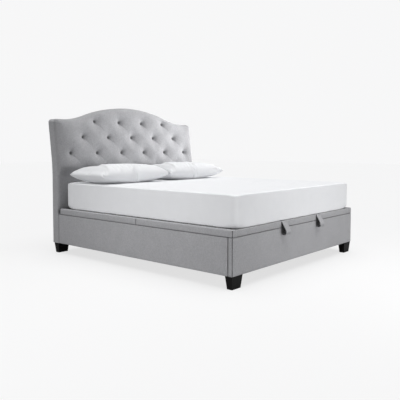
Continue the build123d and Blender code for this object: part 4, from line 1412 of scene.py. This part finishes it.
class Plan:
    """A rounded rectangle seen from above, walked round its edge."""

    def __init__(self, low, high, corner, pitch):
        self.middle = np.array(((low.x + high.x) / 2, (low.y + high.y) / 2))
        self.core = np.array(((high.x - low.x) / 2 - corner, (high.y - low.y) / 2 - corner))
        self.corner = corner
        angles = np.linspace(45, 0, 6)

        def side(start, end, normal, before, after):
            count = max(2, round(np.hypot(*np.subtract(end, start)) / pitch))
            middle = [
                (tuple(np.add(start, np.multiply(np.subtract(end, start), part))), normal)
                for part in np.linspace(0, 1, count)[1:-1]
            ]
            return [(start, angle) for angle in before] + middle + [(end, angle) for angle in after]

        cx, cy = self.core
        self.sides = [
            side((-cx, -cy), (cx, -cy), 270, 270 - angles, 270 + angles[::-1]),
            side((cx, -cy), (cx, cy), 0, -angles, angles[::-1]),
            side((-cx, cy), (cx, cy), 90, 90 + angles, 90 - angles[::-1]),
            side((-cx, -cy), (-cx, cy), 180, 180 + angles, 180 - angles[::-1]),
        ]
        self.columns = len(self.sides[0])
        self.rows = len(self.sides[1])
        walk = self.sides[0] + self.sides[1][1:] + self.sides[2][::-1][1:] + self.sides[3][::-1][1:-1]
        self.cores = np.array([core for core, _ in walk]) + self.middle
        turn = np.radians([angle for _, angle in walk])
        self.normals = np.stack((np.cos(turn), np.sin(turn)), axis=1)
        self.seams = (0, self.columns - 1, self.columns + self.rows - 2, 2 * self.columns + self.rows - 3)

    def ring(self, inset, z):
        """The edge drawn in by an inset, at a height."""
        flat = self.cores + self.normals * (self.corner - np.asarray(inset))[..., None]
        return np.column_stack((flat, np.broadcast_to(z, len(flat))))

    def field(self, inset, z):
        """A grid over the whole inside of the edge."""
        edge = self.ring(np.full(len(self.cores), inset), z)
        columns, rows = self.columns, self.rows
        south = edge[:columns]
        east = edge[columns - 1 : columns + rows - 1]
        north = edge[columns + rows - 2 : 2 * columns + rows - 2][::-1]
        west = np.concatenate((edge[2 * columns + rows - 3 :], edge[:1]))[::-1]
        u = np.linspace(0, 1, columns)[:, None, None]
        v = np.linspace(0, 1, rows)[None, :, None]
        corners = (1 - u) * (1 - v) * south[0] + u * (1 - v) * south[-1]
        corners = corners + (1 - u) * v * north[0] + u * v * north[-1]
        return (1 - v) * south[:, None] + v * north[:, None] + (1 - u) * west[None] + u * east[None] - corners


def droop(points, low, high):
    """How far a mattress's top falls away towards its corners."""
    beside = high.x - np.abs(points[:, 0])
    ahead = np.minimum(points[:, 1] - low.y, high.y - points[:, 1])
    return 8 * MM * np.exp(-((np.hypot(beside, ahead) / 0.055) ** 2))


def side_profile(low, high, top_radius, bottom_radius, turned_under, pitch):
    """Edge of a cushion from its top round to its underside, as (inset, height)."""
    quarter = np.linspace(0, math.pi / 2, 9)[1:]
    drop = high - top_radius - low - bottom_radius
    line = [(top_radius * (1 - math.sin(a)), high - top_radius * (1 - math.cos(a))) for a in quarter]
    line += [(0, high - top_radius - drop * part) for part in np.linspace(0, 1, round(drop / pitch) + 1)[1:]]
    line += [(bottom_radius * (1 - math.cos(a)), low + bottom_radius * (1 - math.sin(a))) for a in quarter]
    under = np.linspace(0, 1, round(turned_under / 0.012) + 1)[1:]
    return line + [(bottom_radius + turned_under * part, low) for part in under]


class OTTOMAN_OT_mattress(bpy.types.Operator):
    """Mattress in knitted ticking, with a soft crown under the sheet"""

    bl_idname = "ottoman.mattress"
    bl_label = "Mattress"

    def execute(self, context):
        low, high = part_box("mattress")
        plan = Plan(low, high, corner=46 * MM, pitch=40 * MM)
        grid = plan.field(20 * MM, high.z - 3 * MM)
        flat = grid.reshape(-1, 3)
        flat[:, 2] -= 1.5 * MM + 0.8 * MM * ripple(flat, 0.25, 2) + droop(flat, low, high)
        rings = []
        profile = side_profile(
            low.z, high.z - 3 * MM, top_radius=16 * MM, bottom_radius=39 * MM, turned_under=0, pitch=30 * MM
        )
        for inset, z in profile:
            ring = plan.ring(np.full(len(plan.cores), inset + 4 * MM), z)
            ring[:, 2] -= droop(ring, low, high) * max(0, 1 - (high.z - z) / 0.07)
            rings.append(ring)
        points, faces = shell(grid, rings)
        points[-1][2] = points[-2][2]
        piece = placed("mattress_core", points, faces, "ticking", "lid")
        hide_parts("mattress")
        return {"FINISHED"}


SHEET_CORNER = 48 * MM  # radius of the sheet's corners, seen from above
SHEET_ROLL = 13 * MM  # radius of its top edge
SHEET_FOOT = 12 * MM  # radius of its lower edge along the sides
SEAM_FOOT = 38 * MM  # and beside the corner seams
SHEET_UNDER = 100 * MM  # width that is turned under the mattress


def sheet_top(plan, low, high):
    """The sheet's top as a grid, with soft swells and small folds that run out of its corners."""
    grid = plan.field(SHEET_ROLL, high.z)
    flat = grid.reshape(-1, 3).copy()
    corner_x = high.x - np.abs(flat[:, 0])
    corner_y = np.minimum(flat[:, 1] - low.y, high.y - flat[:, 1])
    inward = np.clip((np.minimum(corner_x, corner_y) - SHEET_ROLL) / 0.10, 0, 1)
    from_corner = np.hypot(corner_x, corner_y)
    pulls = np.sin(np.arctan2(corner_y, corner_x) * 22) * bell(from_corner, 0.22)
    pulls *= np.clip((from_corner - 0.03) / 0.08, 0, 1)
    flat[:, 2] -= inward * (1.0 * MM + 0.9 * MM * ripple(flat, 0.21, 6) + 0.35 * MM * ripple(flat, 0.06, 7))
    flat[:, 2] += 0.9 * MM * pulls
    flat[:, 2] -= droop(flat, low, high)
    return flat.reshape(grid.shape)


def sheet_rings(plan, low, high, sizes):
    """The sheet's side as rings from its top edge to its gathered hem, with a seam down each corner."""
    walk = plan.ring(np.zeros(len(plan.cores)), 0)[:, :2]
    away = np.concatenate(([0], np.cumsum(np.hypot(*np.diff(walk, axis=0).T))))
    around = away[-1] + np.hypot(*(walk[0] - walk[-1]))
    from_seams = [np.abs(away - away[seam]) for seam in plan.seams]
    nearest = np.min([np.minimum(one_way, around - one_way) for one_way in from_seams], axis=0)
    rings = []
    for inset, z in side_profile(low.z, high.z, SHEET_ROLL, SHEET_FOOT, SHEET_UNDER, pitch=8.5 * MM):
        down = (high.z - z) / (high.z - low.z)
        spots = np.column_stack((walk, np.full(len(walk), z * 0.45)))
        swell = sizes.drape * (0.8 + 1.6 * down**2) * ripple(spots, 0.09, 12)
        swell += sizes.drape * 0.9 * ripple(np.column_stack((walk, np.full(len(walk), z))), 0.26, 14)
        edge_line = 1.3 * MM * bell(high.z - z - 19 * MM, 4.5 * MM)
        seam = 1.6 * MM * bell(nearest, 4 * MM) * (z > low.z + 2 * MM)
        draw = np.sin(away * (2 * math.pi / 0.027) + 3 * down) * bell(nearest, 0.10) * 0.8 * MM * down
        under = max(inset - SHEET_FOOT, 0) / SHEET_UNDER
        rise = z - low.z
        rounder = float(rounded_off(rise, SEAM_FOOT) - rounded_off(rise, SHEET_FOOT)) * (1 - under)
        total = inset + 1.6 * MM + edge_line + seam - swell - draw + rounder * bell(nearest, 0.07)
        total = np.maximum(total, 0.0)
        widest = SHEET_CORNER - 1 * MM
        ring = plan.ring(np.minimum(total, widest), z)
        if under:
            ring[:, :2] -= plan.normals * np.maximum(total - widest, 0)[:, None]
            folds = 1 + np.sin(away * (2 * math.pi / 0.019) + 2 * ripple(spots, 0.08, 17))
            gather = sizes.hem * under * 0.5 * folds
            ring[:, 2] = z + 0.6 * MM + gather * 0.45
        ring[:, 2] -= droop(ring, low, high) * max(0, 1 - (high.z - z) / 0.07)
        rings.append(ring)
    return rings


class OTTOMAN_OT_fitted_sheet(bpy.types.Operator):
    """White fitted sheet, pulled over the mattress and gathered underneath"""

    bl_idname = "ottoman.fitted_sheet"
    bl_label = "Fitted sheet"

    def execute(self, context):
        low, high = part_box("fitted_sheet")
        plan = Plan(low, high, SHEET_CORNER, pitch=15 * MM)
        rings = sheet_rings(plan, low, high, context.scene.ottoman_bedding)
        points, faces = shell(sheet_top(plan, low, high), rings)
        closing = len(points) - 1
        faces = [face for face in faces if closing not in face]
        piece = placed("sheet_over_mattress", points[:-1], faces, "cotton", "lid")
        thick = piece.modifiers.new("cloth_thickness", "SOLIDIFY")
        thick.thickness = 0.9 * MM
        thick.offset = -1
        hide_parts("fitted_sheet")
        return {"FINISHED"}


CASE_WIDTH, CASE_DEPTH = 0.86, 0.51  # a pillowcase laid flat
SIMULATED_FRAMES = 22
FOLD_X = -0.215  # where the fold of the case crosses the pillow's middle line
FOLD_SLANT, FOLD_RUN = 0.115, 0.24  # how far it moves to the right over a run towards the back


def flat_case():
    """A flat case of two sheets sewn round their edge, as points and faces."""
    columns, rows = 72, 44
    points, faces = [], []
    for side in (1, -1):
        numbers = []
        for i, u in enumerate(np.linspace(-1, 1, columns)):
            for j, v in enumerate(np.linspace(-1, 1, rows)):
                if side < 0 and (i in (0, columns - 1) or j in (0, rows - 1)):
                    numbers.append(i * rows + j)
                    continue
                numbers.append(len(points))
                apart = side * 0.02 * (1 - u * u) * (1 - v * v)
                points.append((u * CASE_WIDTH / 2, v * CASE_DEPTH / 2, apart))
        for _, corners in quads(columns, rows):
            faces.append(tuple(numbers[corner] for corner in corners[::side]))
    return np.array(points), faces


def blown_up(points, faces):
    """The points of a case after a cloth simulation with pressure inside it."""
    mesh = bpy.data.meshes.new("pillow_case")
    mesh.from_pydata(points.tolist(), [], faces)
    case = added("pillow_case", mesh)
    cloth = case.modifiers.new("blown_up", "CLOTH")
    cloth.settings.quality = 6
    cloth.settings.mass = 0.3
    cloth.settings.use_pressure = True
    cloth.settings.uniform_pressure_force = 15
    cloth.settings.effector_weights.gravity = 0
    cloth.point_cache.frame_start = 1
    cloth.point_cache.frame_end = SIMULATED_FRAMES
    for frame_number in range(1, SIMULATED_FRAMES + 1):
        bpy.context.scene.frame_set(frame_number)
    blown = case.evaluated_get(bpy.context.evaluated_depsgraph_get()).to_mesh()
    held = np.empty(len(blown.vertices) * 3)
    blown.vertices.foreach_get("co", held)
    bpy.context.scene.frame_set(1)
    bpy.data.objects.remove(case)
    return held.reshape(-1, 3)


def switched(values, width):
    """0 well below nil, 1 well above it, and smooth between them."""
    return 1 / (1 + np.exp(-np.clip(values / width, -40, 40)))


def case_relief(shape, top_side, sizes, sign):
    """Height of the case's fold and wrinkles over a pillow's top, and the painted shade on the case on one side
    of the fold and along it.

    The fold runs back from the front edge, a little to the right, and the case lies higher on its right."""
    x, y = shape[:, 0], shape[:, 1]
    beside = x - (FOLD_X + FOLD_SLANT * y / FOLD_RUN)
    onward = switched(beside, 0.0045)
    ridge = bell(beside - 0.004, 0.013) * 6 * MM + 3 * MM * onward
    trough = 4 * MM * bell(beside + 0.045, 0.045) * (1 - onward)
    near = switched(-(y + 0.04), 0.025)
    small = bell(beside - 0.24, 0.20) * onward * near
    spots = np.column_stack((x * 2.6 - y * 0.8, y * 0.7, x * 0))
    creases = small * sizes.wrinkles * ripple(spots, 0.055, 19 + sign)
    soft = 1.6 * MM * ripple(shape, 0.12, 23 + sign)
    calm = np.clip((0.245 - np.abs(y)) / 0.06, 0, 1) * np.clip((0.42 - np.abs(x)) / 0.06, 0, 1)
    height = np.where(top_side, calm * (ridge - trough + creases + soft), 0)
    # painted shade on the case on one side of its fold, and a thin line of it along the fold
    return height, calm * top_side * (0.19 * (1 - onward) + 0.06 * bell(beside + 0.010, 0.010))


class OTTOMAN_OT_pillows(bpy.types.Operator):
    """Two soft pillows in cotton cases, each with the fold of its case"""

    bl_idname = "ottoman.pillows"
    bl_label = "Pillows"

    def execute(self, context):
        sizes = context.scene.ottoman_bedding
        flat, faces = flat_case()
        blown = blown_up(flat, faces)
        for side, sign in SIDES:
            low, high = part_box(f"pillow_{side}")
            shape = blown.copy()
            if sign > 0:
                shape[:, :2] *= -1
            shape[:, 0] *= (high.x - low.x) / np.ptp(shape[:, 0])
            shape[:, 1] *= (high.y - low.y) / np.ptp(shape[:, 1])
            x, z = shape[:, 0], shape[:, 2]
            rise = z.max()
            z[:] = np.where(z > 0, z * (sizes.crown - sizes.tips) / rise, z * 1.12 * sizes.tips / rise)
            z *= np.clip((0.4325 - np.abs(x)) / 0.11, 0, 1) ** 0.32
            # deep is the painted shade of the case, beside and along its fold
            relief, deep = case_relief(shape, flat[:, 2] > 0, sizes, sign)
            z += relief
            z += sizes.tips - 0.012 * np.clip(1 - np.abs(x) / 0.42, 0, 1)
            z[:] = np.maximum(z, 0.6 * MM)
            shape += np.array(((low.x + high.x) / 2, (low.y + high.y) / 2, low.z))
            piece = placed(f"pillow_in_case_{side}", shape, faces, "cotton", "lid")
            marked(piece.data, deep)
            finer = piece.modifiers.new("finer", "SUBSURF")
            finer.levels = finer.render_levels = 1
            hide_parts(f"pillow_{side}")
        return {"FINISHED"}


# Stage

# The camera of the photo, from a fit to the bed's own corners
CAMERA_SPOT = (-3.8586, -3.2779, 0.9974)
CAMERA_PITCH, CAMERA_YAW = -3.0, -49.38
CAMERA_SHIFT = -0.06
FOCAL_PIXELS, PHOTO_PIXELS, SENSOR = 527.19, 400, 36
FLOOR_HALF = 30
LAMP_SHARE = 0.06  # light that the floor gets from the key and front lamps, on the scale of the room's light


def lamps(levels):
    """The studio's lamps, each as its kind, name, energy, place, target and settings."""
    key = {"shadow_soft_size": 0.35, "spot_size": math.radians(27), "spot_blend": 1.0}
    beside = {"shadow_soft_size": 1.2, "spot_size": math.radians(34), "spot_blend": 1.0}
    return (
        ("SPOT", "key_lamp", levels.key, (3.4, -0.6, 1.0), (0.82, 0.92, 1.15), key),
        ("AREA", "front_lamp", levels.front, (0.3, -3.3, 0.45), (0, 0, 0.45), {"shape": "DISK", "size": 1.4}),
        ("SUN", "light_above", levels.above * math.pi, (0.3, -0.2, 5), (0, 0, 0), {"angle": math.radians(70)}),
        ("SPOT", "light_beside", levels.beside, (-8.0, -1.0, 1.9), (-0.95, -0.32, 0.5), beside),
    )


def hang(kind, name, energy, spot, target, settings):
    """Adds a lamp in its place, turned to its target, where the camera doesn't see it."""
    light = bpy.data.lights.new(name, kind)
    light.energy = energy
    for setting, value in settings.items():
        setattr(light, setting, value)
    holder = added(name, light)
    holder.location = spot
    holder.rotation_euler = (Vector(target) - Vector(spot)).to_track_quat("-Z", "Y").to_euler()
    holder.visible_camera = False


def pale_floor(levels):
    """Floor that the camera sees as the backdrop with soft shadows, and that lights the bed as a plain one."""
    pale = Finish("pale_floor", Base_Color=(0.32, 0.32, 0.324, 1), Roughness=0.95, Specular_IOR_Level=0.0)
    lit = levels.shadow
    shaded = pale.node("ShaderNodeBsdfDiffuse", {}, {"Color": (lit, lit, lit, 1)})
    steady = levels.backdrop - lit * (levels.room + levels.above + LAMP_SHARE)
    glow = pale.node("ShaderNodeEmission", {}, {"Color": (1, 1, 1.003, 1), "Strength": steady})
    shown = pale.node("ShaderNodeAddShader", {}, (shaded, glow))
    seen = pale.node("ShaderNodeLightPath")
    mixed = pale.node("ShaderNodeMixShader", {}, (seen, Amount(pale, pale.shader.outputs[0]), shown))
    pale.tree.links.new(mixed.socket, pale.tree.nodes["Material Output"].inputs["Surface"])
    return pale.material


def studio_world(levels):
    """Soft light from all round, behind an even backdrop for the camera and in reflections."""
    world = bpy.data.worlds.new("studio_room")
    world.use_nodes = True
    nodes, links = world.node_tree.nodes, world.node_tree.links
    room = nodes["Background"]
    room.inputs["Color"].default_value = (0.98, 0.985, 1.0, 1)
    room.inputs["Strength"].default_value = levels.room
    shown = nodes.new("ShaderNodeBackground")
    shown.inputs["Color"].default_value = (levels.backdrop, levels.backdrop, levels.backdrop * 1.004, 1)
    path = nodes.new("ShaderNodeLightPath")
    seen = path.outputs["Is Camera Ray"]
    for ray in ("Is Glossy Ray", "Is Transmission Ray"):
        either = nodes.new("ShaderNodeMath")
        either.operation = "MAXIMUM"
        links.new(seen, either.inputs[0])
        links.new(path.outputs[ray], either.inputs[1])
        seen = either.outputs[0]
    mix = nodes.new("ShaderNodeMixShader")
    for number, socket in enumerate((seen, room.outputs[0], shown.outputs[0])):
        links.new(socket, mix.inputs[number])
    links.new(mix.outputs[0], nodes["World Output"].inputs["Surface"])
    return world


class OTTOMAN_OT_stage(bpy.types.Operator):
    """Pale floor, soft studio light and the camera"""

    bl_idname = "ottoman.stage"
    bl_label = "Studio"

    def execute(self, context):
        levels = context.scene.ottoman_studio
        mesh = bpy.data.meshes.new("studio_floor")
        corners = [(x * FLOOR_HALF, y * FLOOR_HALF, 0) for x, y in ((-1, -1), (1, -1), (1, 1), (-1, 1))]
        mesh.from_pydata(corners, [], [(0, 1, 2, 3)])
        floor = added("studio_floor", mesh)
        floor.data.materials.append(pale_floor(levels))
        context.scene.world = studio_world(levels)
        for lamp in lamps(levels):
            hang(*lamp)
        lens = bpy.data.cameras.new("photo_camera")
        lens.sensor_width = SENSOR
        lens.lens = SENSOR * FOCAL_PIXELS / PHOTO_PIXELS
        lens.shift_y = CAMERA_SHIFT
        lens.clip_start = 0.05
        camera = added("photo_camera", lens)
        camera.location = CAMERA_SPOT
        camera.rotation_euler = (math.radians(90 + CAMERA_PITCH), 0, math.radians(CAMERA_YAW))
        context.scene.camera = camera
        context.scene.view_settings.view_transform = "Standard"
        return {"FINISHED"}


class OTTOMAN_PT_panel(bpy.types.Panel):
    """Lists the bed's pieces and sizes"""

    bl_idname = "OTTOMAN_PT_panel"
    bl_label = "Ottoman Bed"
    bl_space_type = "VIEW_3D"
    bl_region_type = "UI"
    bl_category = "Ottoman Bed"

    def draw(self, context):
        for group in GROUPS:
            box = self.layout.box()
            held = getattr(context.scene, group)
            for name in held.bl_rna.properties.keys():
                if name not in ("rna_type", "name"):
                    box.prop(held, name)
        for operator in PIECES:
            self.layout.operator(operator.bl_idname)


GROUPS = {
    "ottoman_tufting": TuftingSizes,
    "ottoman_bedding": BeddingSizes,
    "ottoman_colours": FabricColours,
    "ottoman_studio": StudioLevels,
}
PIECES = (
    OTTOMAN_OT_stage,
    OTTOMAN_OT_headboard,
    OTTOMAN_OT_buttons,
    OTTOMAN_OT_back_lining,
    OTTOMAN_OT_base_covers,
    OTTOMAN_OT_lid_covers,
    OTTOMAN_OT_corner_welts,
    OTTOMAN_OT_pull_loops,
    OTTOMAN_OT_frame_finishes,
    OTTOMAN_OT_mattress,
    OTTOMAN_OT_fitted_sheet,
    OTTOMAN_OT_pillows,
)


def register():
    for group, kind in GROUPS.items():
        bpy.utils.register_class(kind)
        setattr(bpy.types.Scene, group, bpy.props.PointerProperty(type=kind))
    for kind in (*PIECES, OTTOMAN_PT_panel):
        bpy.utils.register_class(kind)


def unregister():
    for kind in (OTTOMAN_PT_panel, *reversed(PIECES)):
        bpy.utils.unregister_class(kind)
    for group, kind in GROUPS.items():
        delattr(bpy.types.Scene, group)
        bpy.utils.unregister_class(kind)


def main():
    register()
    for piece in PIECES:
        family, name = piece.bl_idname.split(".")
        getattr(getattr(bpy.ops, family), name)()


if __name__ == "__main__":
    main()
